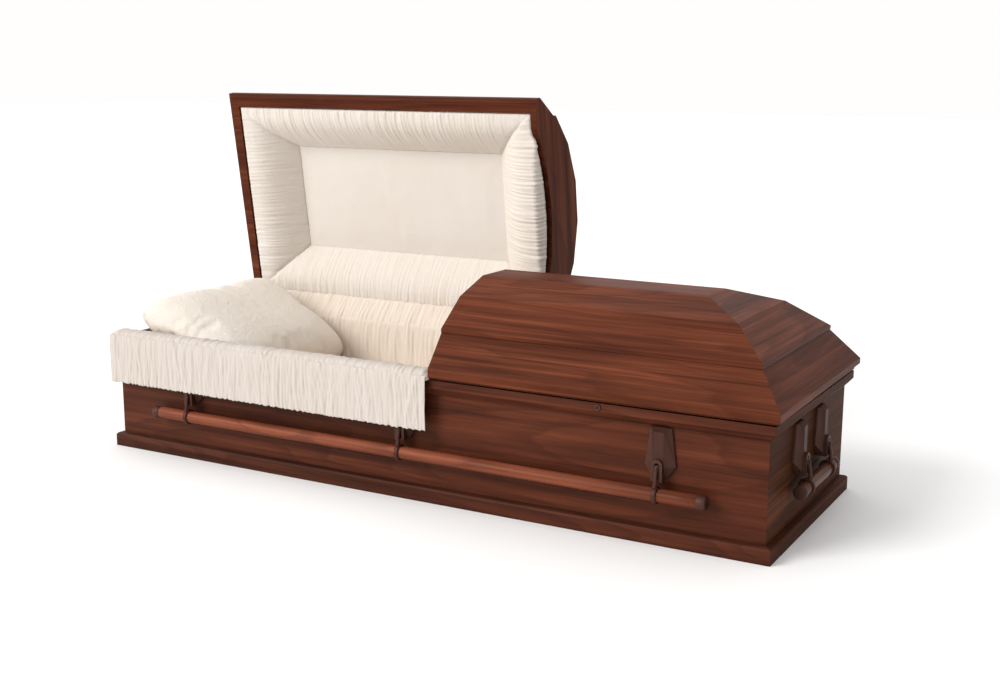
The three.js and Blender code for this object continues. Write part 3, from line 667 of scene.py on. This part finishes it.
def border_piece(lid, step, rows, seed, material):
    """The gathered border round a lid's panel, as a ring with a closed section."""
    outer, inner, side, _, gap = ring_columns(
        lid.length, 2 * lid.y_edge, BORDER_ALONG, BORDER_ACROSS, step
    )
    face = smooth_curve(BORDER_FACE, rows)
    normals = curve_normals(face * np.array([0.15, 1.0]))
    at_cut = (outer[:, 0] < SAME_POINT).astype(float)
    columns = len(outer)
    share = np.repeat(face[:, :1], columns, axis=1)
    z = np.repeat(face[:, 1:], columns, axis=1)
    row = np.arange(rows)[:, None]
    lifted = np.maximum(0.0, arch_height(outer[:, 1]) + 0.004 - RAIL_TOP) * at_cut
    z += lifted[None] * np.exp(-(row / (0.05 * rows)) ** 2)
    across_x = (side % 2 == 0)[None]
    centre = outer[None] + share[..., None] * (inner - outer)[None]
    grid_run = np.where(across_x, centre[..., 0], centre[..., 1]) + SIDE_APART * side[None]
    fine = gathers(grid_run, share, seed, BORDER_GATHER[0])
    fold = gathers(grid_run, share, seed + 20, BORDER_FOLD[0], 2)
    fade = smooth_step(np.arange(rows) / rows, 0.0, 0.10) * (1 - 0.72 * face[:, 0])
    mitre = np.exp(-(gap / MITRE_WIDTH) ** 2)[None] * smooth_step(share, 0.1, 0.5)
    rise = BORDER_GATHER[1] * (fine - 0.5) + BORDER_FOLD[1] * (fold - 0.5)
    rise = fade[:, None] * rise - MITRE_DEPTH * mitre
    width = np.where(across_x, BORDER_ACROSS, BORDER_ALONG)
    share = share - rise * normals[:, :1] / width
    z = z - rise * normals[:, 1:]
    flat = outer[None] + share[..., None] * (inner - outer)[None]
    under_arch = smooth_step(arch_height(outer[:, 1])[None] - z, 0.0, 0.012) * at_cut[None]
    near_edge = np.exp(-(row / (0.20 * rows)) ** 2)
    flat[..., 0] -= under_arch * near_edge * (ARCH_BULGE[0] + ARCH_BULGE[1] * (fine - 0.5))
    back = [
        np.concatenate([outer + s * (inner - outer), np.full((columns, 1), h)], axis=1)
        for s, h in BORDER_BACK
    ]
    points = np.concatenate([np.concatenate([flat, z[..., None]], axis=2), np.array(back)])
    points[..., 0] = lid.x_cut + lid.inward * points[..., 0]
    name = f"{lid.name}_border_pad"
    mesh = close_ends(grid_mesh(name, lid.place(points), around=True, ends=True))
    piece = add_object(name, mesh, material, lid.name)
    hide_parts(f"{lid.name}_border")


def slab_mesh(name, xs, ys, front, back):
    """A closed slab from two height grids over xs and ys: its points and its mesh."""
    gx, gy = np.meshgrid(xs, ys, indexing="ij")
    rows, columns = gx.shape
    points = np.concatenate([
        np.stack([gx, gy, front], axis=-1).reshape(-1, 3),
        np.stack([gx, gy, back], axis=-1).reshape(-1, 3),
    ])
    index = np.arange(rows * columns).reshape(rows, columns)
    corners = [index[:-1, :-1], index[1:, :-1], index[1:, 1:], index[:-1, 1:]]
    quads = np.stack(corners, axis=-1).reshape(-1, 4)
    rim = np.concatenate([index[:, 0], index[-1, 1:], index[-2::-1, -1], index[0, -2:0:-1]])
    after = np.roll(rim, -1)
    offset = rows * columns
    walls = np.stack([rim, after, after + offset, rim + offset], axis=-1)
    mesh = bpy.data.meshes.new(name)
    faces = np.concatenate([quads, quads[:, ::-1] + offset, walls])
    mesh.from_pydata(points.tolist(), [], faces.tolist())
    return points, mesh


NOISE_CELLS = 64


def value_noise(x, y, seed, scale):
    """Smooth seeded noise from 0 to 1 over a plane."""
    rng = np.random.default_rng(seed)
    table = rng.random((NOISE_CELLS, NOISE_CELLS))
    u, v = x / scale, y / scale
    i, j = np.floor(u).astype(int), np.floor(v).astype(int)
    a, b = u - i, v - j
    a, b = a * a * (3 - 2 * a), b * b * (3 - 2 * b)

    def at(p, q):
        return table[p % NOISE_CELLS, q % NOISE_CELLS]

    low = at(i, j) * (1 - a) + at(i + 1, j) * a
    high = at(i, j + 1) * (1 - a) + at(i + 1, j + 1) * a
    return low * (1 - b) + high * b


PANEL_TUCK = 0.012


def panel_piece(lid, material):
    """The flat panel of a lid's lining, with its edges tucked under the border."""
    near = lid.x_cut + lid.inward * (BORDER_ALONG - PANEL_TUCK)
    far = lid.x_end - lid.inward * (BORDER_ALONG - PANEL_TUCK)
    half = lid.y_edge - BORDER_ACROSS + PANEL_TUCK
    xs = np.linspace(min(near, far), max(near, far), 170)
    ys = np.linspace(-half, half, 80)
    gx, gy = np.meshgrid(xs, ys, indexing="ij")
    edge = np.minimum.reduce([gx - xs[0], xs[-1] - gx, gy - ys[0], ys[-1] - gy])
    puff = 0.004 * smooth_step(edge, 0.010, 0.085)
    sway = 0.0016 * value_noise(gx, gy * 0.35, 5, 0.05) + 0.0008 * value_noise(gx, gy, 6, 0.021)
    front = PANEL_Z + 0.0006 - (puff + sway) * smooth_step(edge, 0.006, 0.030)
    back = np.full_like(gx, PANEL_Z + 0.0082)
    points, mesh = slab_mesh(f"{lid.name}_panel_pad", xs, ys, front, back)
    mesh.vertices.foreach_set("co", lid.place(points).ravel())
    mesh = close_ends(mesh)
    piece = add_object(f"{lid.name}_panel_pad", mesh, material, lid.name)
    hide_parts(f"{lid.name}_panel")


# The box lining's section: how far it stands off the wall, and its height
LINING_FACE = [
    (0.0012, 0.3300), (0.0035, 0.3385), (0.0090, 0.3418), (0.0145, 0.3375), (0.0170, 0.3220),
    (0.0172, 0.2900), (0.0160, 0.2500), (0.0135, 0.2150), (0.0124, 0.1985), (0.0118, 0.1850),
    (0.0115, 0.1650),
]
LINING_DEPTH = 0.02
LINING_STEP = 0.0036
LINING_ROWS = 32
LINING_GATHER = (0.017, 0.0026)
LINING_FOLD = (0.060, 0.0026)
CLOTH_THICKNESS = 0.0012


def lining_piece(material):
    half_x, half_y = BOX_X - WALL - FIT, BOX_Y - WALL - FIT
    outer, inner, _, run, _ = ring_columns(
        2 * half_x, 2 * half_y, LINING_DEPTH, LINING_DEPTH, LINING_STEP
    )
    face = smooth_curve(LINING_FACE, LINING_ROWS)
    normals = curve_normals(face)
    rows, columns = len(face), len(run)
    level = np.linspace(0, 1, rows)
    grid_run = np.repeat(run[None], rows, axis=0)
    grid_level = np.repeat(level[:, None], columns, axis=1)
    fine = gathers(grid_run, grid_level, 300, LINING_GATHER[0])
    fold = gathers(grid_run, grid_level, 320, LINING_FOLD[0], 2)
    fade = smooth_step(level, 0.0, 0.12) * (1 - 0.5 * smooth_step(level, 0.85, 1.0))
    rise = LINING_GATHER[1] * (fine - 0.5) + LINING_FOLD[1] * (fold - 0.5)
    rise = fade[:, None] * rise
    inset = face[:, :1] + rise * np.abs(normals[:, :1])
    z = face[:, 1:] + rise * np.clip(-normals[:, 1:], -0.3, 0.3)
    share = inset / LINING_DEPTH
    flat = outer[None] + share[..., None] * (inner - outer)[None]
    points = np.concatenate([flat, z[..., None]], axis=2)
    points[..., 0] -= half_x
    mesh = grid_mesh("box_lining_cloth", points, around=True)
    piece = add_object("box_lining_cloth", mesh, material, "casket_box")
    thicken(piece, CLOTH_THICKNESS, 1.0)
    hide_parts("box_lining")
    return piece


# The cloth that climbs the back of the box and covers the hinge rail: (y, z) up its face
BACK_FACE = [
    (0.2880, 0.1975), (0.2872, 0.2300), (0.2868, 0.2700), (0.2880, 0.3050), (0.2925, 0.3320),
    (0.3020, 0.3520), (0.3160, 0.3690), (0.3300, 0.3845), (0.3400, 0.3960), (0.3470, 0.4040),
]


BACK_ENDS = (-1.006, 0.0985)
BACK_STEP = 0.0026
BACK_GATHER = (0.016, 0.0036)
BACK_FOLD = (0.055, 0.0050)


def back_cloth_piece(material):
    xs = np.arange(*BACK_ENDS, BACK_STEP)
    face = smooth_curve(BACK_FACE, 72)
    normals = curve_normals(face)
    level = np.linspace(0, 1, len(face))
    grid_x = np.repeat(xs[None], len(face), axis=0)
    grid_level = np.repeat(level[:, None], len(xs), axis=1)
    fine = gathers(grid_x, grid_level, 410, BACK_GATHER[0], 4)
    fold = gathers(grid_x, grid_level, 430, BACK_FOLD[0], 3)
    fade = 1 - 0.6 * smooth_step(level, 0.9, 1.0)
    rise = BACK_GATHER[1] * (fine - 0.5) + BACK_FOLD[1] * (fold - 0.5)
    rise = fade[:, None] * rise
    y = face[:, :1] + rise * normals[:, :1]
    z = face[:, 1:] + rise * normals[:, 1:]
    points = np.stack([grid_x, y, z], axis=-1)
    mesh = grid_mesh("back_cloth", points)
    piece = add_object("back_cloth", mesh, material)
    thicken(piece, CLOTH_THICKNESS, 0.0)
    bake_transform(piece)
    return piece


MATTRESS_HALF = (0.9972, 0.2947)
MATTRESS_ROUNDING = 0.03


def mattress_piece(material):
    half_x, half_y = MATTRESS_HALF
    xs = half_x * np.sin(np.linspace(-1, 1, 170) * math.pi / 2 * 0.999)
    ys = half_y * np.sin(np.linspace(-1, 1, 64) * math.pi / 2 * 0.999)
    gx, gy = np.meshgrid(xs, ys, indexing="ij")
    edge = np.minimum(half_x - np.abs(gx), half_y - np.abs(gy))
    rounded = 1 - np.clip(edge / MATTRESS_ROUNDING, 0, 1)
    corner = np.sqrt(np.clip(1 - rounded**2, 0, 1))
    sway = 0.004 * value_noise(gx, gy * 0.5, 51, 0.11)
    sway = sway + 0.0018 * value_noise(gx, gy * 0.3, 52, 0.028)
    top = MATTRESS_TOP - 0.034 + 0.030 * corner + sway * corner - 0.0025
    bottom = 0.0436 + 0.012 * (1 - corner)
    _, mesh = slab_mesh("mattress_pad", xs, ys, top, bottom)
    piece = add_object("mattress_pad", close_ends(mesh), material, "casket_box")
    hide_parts("mattress")


PILLOW_HALF = (0.204, 0.289)
PILLOW_TILT = math.radians(29)
PILLOW_PULL = 0.035
PILLOW_LOW = Vector((-0.9960, 0.0, MATTRESS_TOP + 0.0003))
# The room inside the lining
PILLOW_ROOM_X = -0.9955
PILLOW_ROOM_Y = (-0.2920, 0.2840)


def pillow_start():
    """The crowned pillow before its cloth is relaxed; its sides pull in between the corners."""
    u = np.linspace(-1, 1, 60)
    v = np.linspace(-1, 1, 76)
    gu, gv = np.meshgrid(u, v, indexing="ij")
    rounding = 1 - 0.045 * np.abs(gu * gv) ** 6
    x = PILLOW_HALF[0] * gu * (1 - PILLOW_PULL * (1 - gv**2)) * rounding
    y = PILLOW_HALF[1] * gv * (1 - PILLOW_PULL * (1 - gu**2)) * rounding

    def edges(power_u, power_v, softness):
        along = np.clip(1 - np.abs(gu) ** power_u, 0, 1) ** softness
        return along * np.clip(1 - np.abs(gv) ** power_v, 0, 1) ** softness

    full = edges(3, 4, 0.5)
    rounded = edges(9, 11, 0.35)
    top = 0.005 + 0.022 * rounded + 0.062 * full
    bottom = -(0.005 + 0.020 * rounded + 0.030 * full)
    points, mesh = slab_mesh("pillow_pad", u, v, top, bottom)
    points[:, 0] = np.tile(x.ravel(), 2)
    points[:, 1] = np.tile(y.ravel(), 2)
    points = points @ np.array(Matrix.Rotation(PILLOW_TILT, 3, "Y")).T
    points[:, 0] += PILLOW_LOW.x - points[:, 0].min() + 0.004
    points[:, 2] += PILLOW_LOW.z - points[:, 2].min() + 0.003
    mesh.vertices.foreach_set("co", points.ravel())
    return close_ends(mesh)


def relax_cloth(piece, voxel, pressure, cap, frames, grow):
    """Inflates a closed mesh as cloth and keeps each point within cap of where it began."""
    scene = bpy.context.scene
    remesh = piece.modifiers.new("remesh", "REMESH")
    remesh.mode = "VOXEL"
    remesh.voxel_size = voxel
    apply_modifier(piece, remesh)
    start = np.array([vertex.co for vertex in piece.data.vertices])
    cloth = piece.modifiers.new("cloth", "CLOTH")
    settings = cloth.settings
    settings.use_pressure = True
    settings.uniform_pressure_force = pressure
    settings.effector_weights.gravity = 0.0
    settings.quality = 5
    settings.mass = 0.25
    settings.tension_stiffness = 12
    settings.compression_stiffness = 12
    settings.bending_stiffness = 0.08
    settings.shrink_min = -grow
    cloth.point_cache.frame_start = 1
    cloth.point_cache.frame_end = frames
    for step in range(1, frames + 1):
        scene.frame_set(step)
    view = bpy.context.evaluated_depsgraph_get()
    relaxed = piece.evaluated_get(view).to_mesh()
    end = np.array([vertex.co for vertex in relaxed.vertices])
    piece.evaluated_get(view).to_mesh_clear()
    piece.modifiers.remove(cloth)
    scene.frame_set(1)
    shift = end - start
    far = np.linalg.norm(shift, axis=1, keepdims=True)
    kept = start + shift * np.minimum(1.0, cap / np.maximum(far, 1e-9))
    piece.data.vertices.foreach_set("co", kept.ravel())
    piece.data.update()


def pillow_piece(material):
    piece = add_object("pillow_pad", pillow_start(), material)
    relax_cloth(piece, voxel=0.0065, pressure=3.0, cap=0.018, frames=20, grow=0.05)
    smooth_skin(piece, 0.5, 3)
    points = np.array([vertex.co for vertex in piece.data.vertices])
    points[:, 2] = np.maximum(points[:, 2], MATTRESS_TOP - 0.001)
    points[:, 0] = np.maximum(points[:, 0], PILLOW_ROOM_X)
    points[:, 1] = np.clip(points[:, 1], *PILLOW_ROOM_Y)
    piece.data.vertices.foreach_set("co", points.ravel())
    subdivide(piece, 1)
    for polygon in piece.data.polygons:
        polygon.use_smooth = True
    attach(piece, "casket_box")
    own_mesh(piece)
    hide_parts("pillow")


def smooth_skin(piece, factor, repeats):
    modifier = piece.modifiers.new("even", "SMOOTH")
    modifier.factor = factor
    modifier.iterations = repeats
    apply_modifier(piece, modifier)


def subdivide(piece, levels):
    modifier = piece.modifiers.new("round", "SUBSURF")
    modifier.levels = modifier.render_levels = levels
    apply_modifier(piece, modifier)


# The overlay's sections over the front rim and down the front: (y, z)
ROLL_FACE = [
    (-0.2990, 0.3440), (-0.2980, 0.3500), (-0.3015, 0.3590), (-0.3130, 0.3668), (-0.3310, 0.3694),
    (-0.3490, 0.3676), (-0.3598, 0.3616), (-0.3637, 0.3540), (-0.3636, 0.3432),
]
FALL_FACE = [
    (-0.3629, 0.3565), (-0.3650, 0.3490), (-0.3662, 0.3370), (-0.3667, 0.3150),
    (-0.3663, 0.2600), (-0.3656, 0.2100),
]
FALL_CLEAR = -0.3628
FALL_SAG = 0.0042
FALL_THICKNESS = 0.0014
OVERLAY_ENDS = (-1.0385, 0.0980)
OVERLAY_STEP = 0.0022
ROLL_SHARE = 0.42
ROLL_CENTRE_Y = -0.3300
ROLL_FLOOR = 0.3434
ROLL_END = 0.016
OVERLAY_GATHER = (0.0130, 0.0031)
OVERLAY_FOLD = (0.030, 0.0040)
HEM_WIDTH = 0.015
HEM_DEPTH = 0.0042


def overlay_rise(xs, levels):
    """How far the gathers stand out; levels run from 0 inside the box to 1 at the hem."""
    grid_x = np.repeat(xs[None], len(levels), axis=0)
    grid_level = np.repeat(levels[:, None], len(xs), axis=1)
    fine = gathers(grid_x, grid_level, 610, OVERLAY_GATHER[0], 10)
    fold = gathers(grid_x, grid_level, 640, OVERLAY_FOLD[0], 6)
    uneven = 0.55 + 0.75 * value_noise(grid_x, grid_level * 0.12, 660, 0.055)
    return uneven * (OVERLAY_GATHER[1] * (fine - 0.5) + OVERLAY_FOLD[1] * (fold - 0.5))


def overlay_pieces(material):
    xs = np.arange(OVERLAY_ENDS[0], OVERLAY_ENDS[1] + SAME_POINT, OVERLAY_STEP)
    from_end = np.minimum(xs - xs[0], xs[-1] - xs)

    face = smooth_curve(ROLL_FACE, 34)
    normals = curve_normals(face)
    levels = np.linspace(0, ROLL_SHARE, len(face))
    rise = overlay_rise(xs, levels)
    y = face[:, :1] + rise * normals[:, :1]
    z = face[:, 1:] + rise * normals[:, 1:]
    drawn_in = 1 - smooth_step(from_end, 0.0, ROLL_END)
    y = ROLL_CENTRE_Y + (y - ROLL_CENTRE_Y) * (1 - 0.10 * drawn_in)
    z = ROLL_FLOOR + (np.maximum(z, ROLL_FLOOR) - ROLL_FLOOR) * (1 - 0.30 * drawn_in)
    points = np.stack([np.repeat(xs[None], len(face), axis=0), y, z], axis=-1)
    mesh = close_ends(grid_mesh("overlay_roll_pad", points, ends=True))
    roll = add_object("overlay_roll_pad", mesh, material, "casket_box")
    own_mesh(roll)
    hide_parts("overlay_roll")

    face = smooth_curve(FALL_FACE, 44)
    levels = np.linspace(ROLL_SHARE, 1, len(face))
    rise = overlay_rise(xs, levels)
    y = face[:, :1] - rise
    hem = HEM_DEPTH * (pleats(xs, 77, HEM_WIDTH) - 0.4) * smooth_step(levels, 0.86, 1.0)[:, None]
    toward_foot = (xs - xs[0]) / (xs[-1] - xs[0])
    sag = FALL_SAG * toward_foot * smooth_step(levels, ROLL_SHARE, 1.0)[:, None]
    z = face[:, 1:] + hem - sag
    y = np.minimum(y, FALL_CLEAR)
    points = np.stack([np.repeat(xs[None], len(face), axis=0), y, z], axis=-1)
    mesh = grid_mesh("overlay_fall_cloth", points)
    fall = add_object("overlay_fall_cloth", mesh, material, "casket_box")
    thicken(fall, FALL_THICKNESS, -1.0)
    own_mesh(fall)
    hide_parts("overlay_fall")
    return fall, roll


def wall_frame(wall, turn):
    """A frame on a wall's outer face, with X along the wall and -Y outward."""
    return Matrix.Translation(wall) @ Matrix.Rotation(turn, 4, "Z")


# Name, wall, shift along the wall, places of the arms and length of the bar
HANDLES = [
    ("front_handle", wall_frame((0, -BOX_Y, 0), 0.0), LONG_SHIFT, LONG_EARS, LONG_BAR),
    ("back_handle", wall_frame((0, BOX_Y, 0), math.pi), -LONG_SHIFT, LONG_EARS, LONG_BAR),
    ("foot_handle", wall_frame((BOX_X, 0, 0), math.pi / 2), -END_TO_FRONT, END_EARS, END_BAR),
    ("head_handle", wall_frame((-BOX_X, 0, 0), -math.pi / 2), END_TO_FRONT, END_EARS, END_BAR),
]

# Arm strap from the pivot down to the ring: (out, z, half width, half thickness)
ARM_PATH = [
    (0.0270, 0.2065, 0.0046, 0.0040),
    (0.0310, 0.2000, 0.0050, 0.0046),
    (0.0340, 0.1900, 0.0047, 0.0044),
    (0.0362, 0.1800, 0.0045, 0.0042),
    (0.0375, 0.1700, 0.0048, 0.0042),
    (0.0380, 0.1600, 0.0054, 0.0042),
    (0.0380, 0.1530, 0.0056, 0.0030),
]


def strap_mesh(path, sides=16):
    """A rounded strap along (out, z) points whose flat side faces outward."""
    table = smooth_curve(path, 30)
    run = np.gradient(table[:, :2], axis=0)
    run /= np.linalg.norm(run, axis=1, keepdims=True)
    turn = np.linspace(0, 2 * math.pi, sides, endpoint=False)
    wide = np.sign(np.cos(turn)) * np.abs(np.cos(turn)) ** 0.7
    deep = np.sign(np.sin(turn)) * np.abs(np.sin(turn)) ** 0.8
    rows = []
    for (out, z, half_width, half_deep), (d_out, d_z) in zip(table, run):
        normal = (-d_z, d_out)
        x = half_width * wide
        o = out + normal[0] * half_deep * deep
        rows.append(np.stack([x, -o, z + normal[1] * half_deep * deep], axis=1))
    return close_ends(grid_mesh("strap", np.array(rows), around=True))


def dome_mesh(centre, direction, radius, height):
    """A low rivet head on centre, facing direction in the (out, z) plane."""
    profile = [
        (0.0, radius),
        (0.25 * height, radius),
        (0.6 * height, 0.85 * radius),
        (0.9 * height, 0.5 * radius),
        (height, 0.0005),
    ]
    mesh = lathe(profile, (0, 0, 0), sides=20)
    outward = Vector((0, -direction[0], direction[1]))
    aim = outward.to_track_quat("X", "Z").to_matrix().to_4x4()
    mesh.transform(Matrix.Translation((0, -centre[0], centre[1])) @ aim)
    return mesh


BAND_CROWN = 0.0004


def ring_mesh(centre, half, outer, inner, edge):
    """A ring about the (out, z) centre with a bore, rounded edges and a slight crown."""
    side = [
        (-half, inner),
        (-half, outer - edge),
        (-half + 0.3 * edge, outer - 0.3 * edge),
        (-half + edge, outer),
        (-0.3 * half, outer + BAND_CROWN),
    ]
    profile = side + [(-run, radius) for run, radius in reversed(side)]
    return lathe(profile, (0, -centre[0], centre[1]), closed=True)


def arm_mesh():
    """One arm: its eye on the pivot, the strap, the ring round the bar and two rivets."""
    return combine("arm", [
        ring_mesh((PIVOT_OUT, PIVOT_Z), 0.0054, 0.0088, 0.0037, 0.0018),
        strap_mesh(ARM_PATH),
        ring_mesh((BAR_OUT, BAR_Z), 0.0059, 0.0221, BAR_RADIUS + 0.0002, 0.0018),
        dome_mesh((0.0350, 0.2010), (0.96, 0.28), 0.0046, 0.0034),
        dome_mesh((0.0415, 0.1580), (0.97, 0.25), 0.0046, 0.0034),
    ])


BAR_WOOD_RADIUS = 0.0172
BAR_GROOVE = 0.002
BAR_STEPS = 36


def bar_mesh(length):
    """A wooden bar with a wider tip on each end; the tips' faces take the second material."""
    half, wood = length / 2, length / 2 - BAR_TIP
    tip = [
        (-half, 0.0004),
        (-half, 0.0140),
        (-half + 0.0012, 0.0166),
        (-half + 0.0036, BAR_RADIUS),
        (-wood - 0.0010, BAR_RADIUS),
        (-wood, 0.0174),
        (-wood, 0.0166),
        (-wood + 0.0012, 0.0166),
    ]
    clear = wood - BAR_GROOVE
    middle = [
        (-wood + BAR_GROOVE + 2 * clear * i / BAR_STEPS, BAR_WOOD_RADIUS)
        for i in range(BAR_STEPS + 1)
    ]
    profile = tip + middle + [(-run, radius) for run, radius in reversed(tip)]
    mesh = lathe(profile, (0, -BAR_OUT, BAR_Z), sides=56)
    for polygon in mesh.polygons:
        polygon.material_index = int(abs(polygon.center.x) > wood)
    return mesh


def handle_pieces(bronze, bar_along, bar_across):
    for name, wall, shift, places, length in HANDLES:
        for i, x in enumerate(places, 1):
            mesh = arm_mesh()
            mesh.transform(wall @ Matrix.Translation((shift + x, 0, 0)))
            arm = add_object(f"{name}_strap_{i}", mesh, bronze, name)
            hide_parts(f"{name}_arm_{i}")
        mesh = bar_mesh(length)
        mesh.transform(wall @ Matrix.Translation((shift, 0, 0)))
        across = name in ("foot_handle", "head_handle")
        wood = bar_across if across else bar_along
        bar = add_object(f"{name}_dowel", mesh, wood, name)
        bar.data.materials.append(bronze)
        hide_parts(f"{name}_bar")


def side_wood(name, shift, **look):
    return wood_material(name, shift, turned=0.0, **look)


def end_wood(name, shift, tone):
    """Wood of the end boards, which are dull and dark in the photograph."""
    return wood_material(name, shift, turned=1.0, tone=tone, gloss=0.5, shine=0.03)


METAL_BEVEL = 0.0010
WOOD_BEVEL = 0.0016


def dress_solids(bronze, brass):
    """Gives each solid that stays its finish, by the first rule whose words its name has."""
    wall_ends = end_wood("wood_ends", 5.0, (0.92, 0.98, 0.62))
    rim_ends = end_wood("wood_rim_ends", 43.0, (0.95, 1.0, 0.70))
    base_ends = end_wood("wood_base_ends", 53.0, (0.80, 0.80, 0.62))
    rules = [
        ("wall_head", wall_ends),
        ("wall_foot", wall_ends),
        ("rim_moulding_head", rim_ends),
        ("rim_moulding_foot", rim_ends),
        ("base_moulding_head", base_ends),
        ("base_moulding_foot", base_ends),
        ("wall_front", side_wood("wood_front", 0.0, tone=(0.94, 0.90, 0.86))),
        ("wall_back", side_wood("wood_back", 31.0)),
        ("rim_moulding", side_wood("wood_rim", 41.0)),
        ("base_moulding", side_wood("wood_base", 51.0, tone=(0.76, 0.76, 0.80))),
        ("bottom_board", side_wood("wood_underside", 61.0, tone=(0.8, 0.8, 0.8), gloss=0.6)),
        ("_hinge_", brass),
        ("_ear_", bronze),
        ("key_escutcheon", bronze),
        ("head_lid", wood_material(
            "wood_head_lid", 13.0, on_open_lid=True, tone=(1.22, 1.16, 1.10), gloss=0.5, shine=0.04
        )),
        ("foot_lid", wood_material(
            "wood_foot_lid", 21.0, tone=(1.34, 1.30, 1.24), gloss=0.46, shine=0.06
        )),
    ]
    for name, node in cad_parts.items():
        material = next((finish for words, finish in rules if words in name), None)
        if material is None:
            continue
        node.data.materials.clear()
        node.data.materials.append(material)
        soften(node, METAL_BEVEL if material is bronze else WOOD_BEVEL)


add_camera()
add_studio()
bronze = metal_material(
    "dark_bronze", (0.056, 0.021, 0.015), (0.10, 0.045, 0.032), roughness=0.52, metallic=0.35
)
brass = metal_material("antique_brass", (0.052, 0.034, 0.020), (0.15, 0.10, 0.055))
crepe_overlay = crepe_material("crepe_overlay", (0.60, 0.548, 0.515), (1.0, 0.14, 0.14))
crepe_lid = crepe_material("crepe_lid", (0.735, 0.685, 0.64), (0.6, 0.6, 0.6), strength=0.35)
crepe_panel = crepe_material("crepe_panel", (0.73, 0.685, 0.65), (0.5, 0.35, 0.35), strength=0.22)
crepe_box = crepe_material("crepe_box", (0.73, 0.655, 0.58), (1.0, 0.2, 0.2), strength=0.4)
crepe_pillow = crepe_material(
    "crepe_pillow", (0.86, 0.81, 0.75), (0.30, 0.30, 0.30), strength=0.8, depth=0.0026
)
wood_bar = wood_material("wood_bar", 71.0, turned=0.0, tone=(1.8, 1.8, 1.8), gloss=0.34)
wood_bar_across = wood_material(
    "wood_bar_across", 73.0, turned=1.0, tone=(1.1, 1.2, 1.1), gloss=0.34
)

dress_solids(bronze, brass)
border_piece(HEAD_LID, 0.0026, 40, 100, crepe_lid)
border_piece(FOOT_LID, 0.0040, 30, 200, crepe_lid)
panel_piece(HEAD_LID, crepe_panel)
panel_piece(FOOT_LID, crepe_panel)
lining = lining_piece(crepe_box)
back_cloth = back_cloth_piece(crepe_box)
mattress_piece(crepe_box)
pillow_piece(crepe_pillow)
fall, roll = overlay_pieces(crepe_overlay)
handle_pieces(bronze, wood_bar, wood_bar_across)
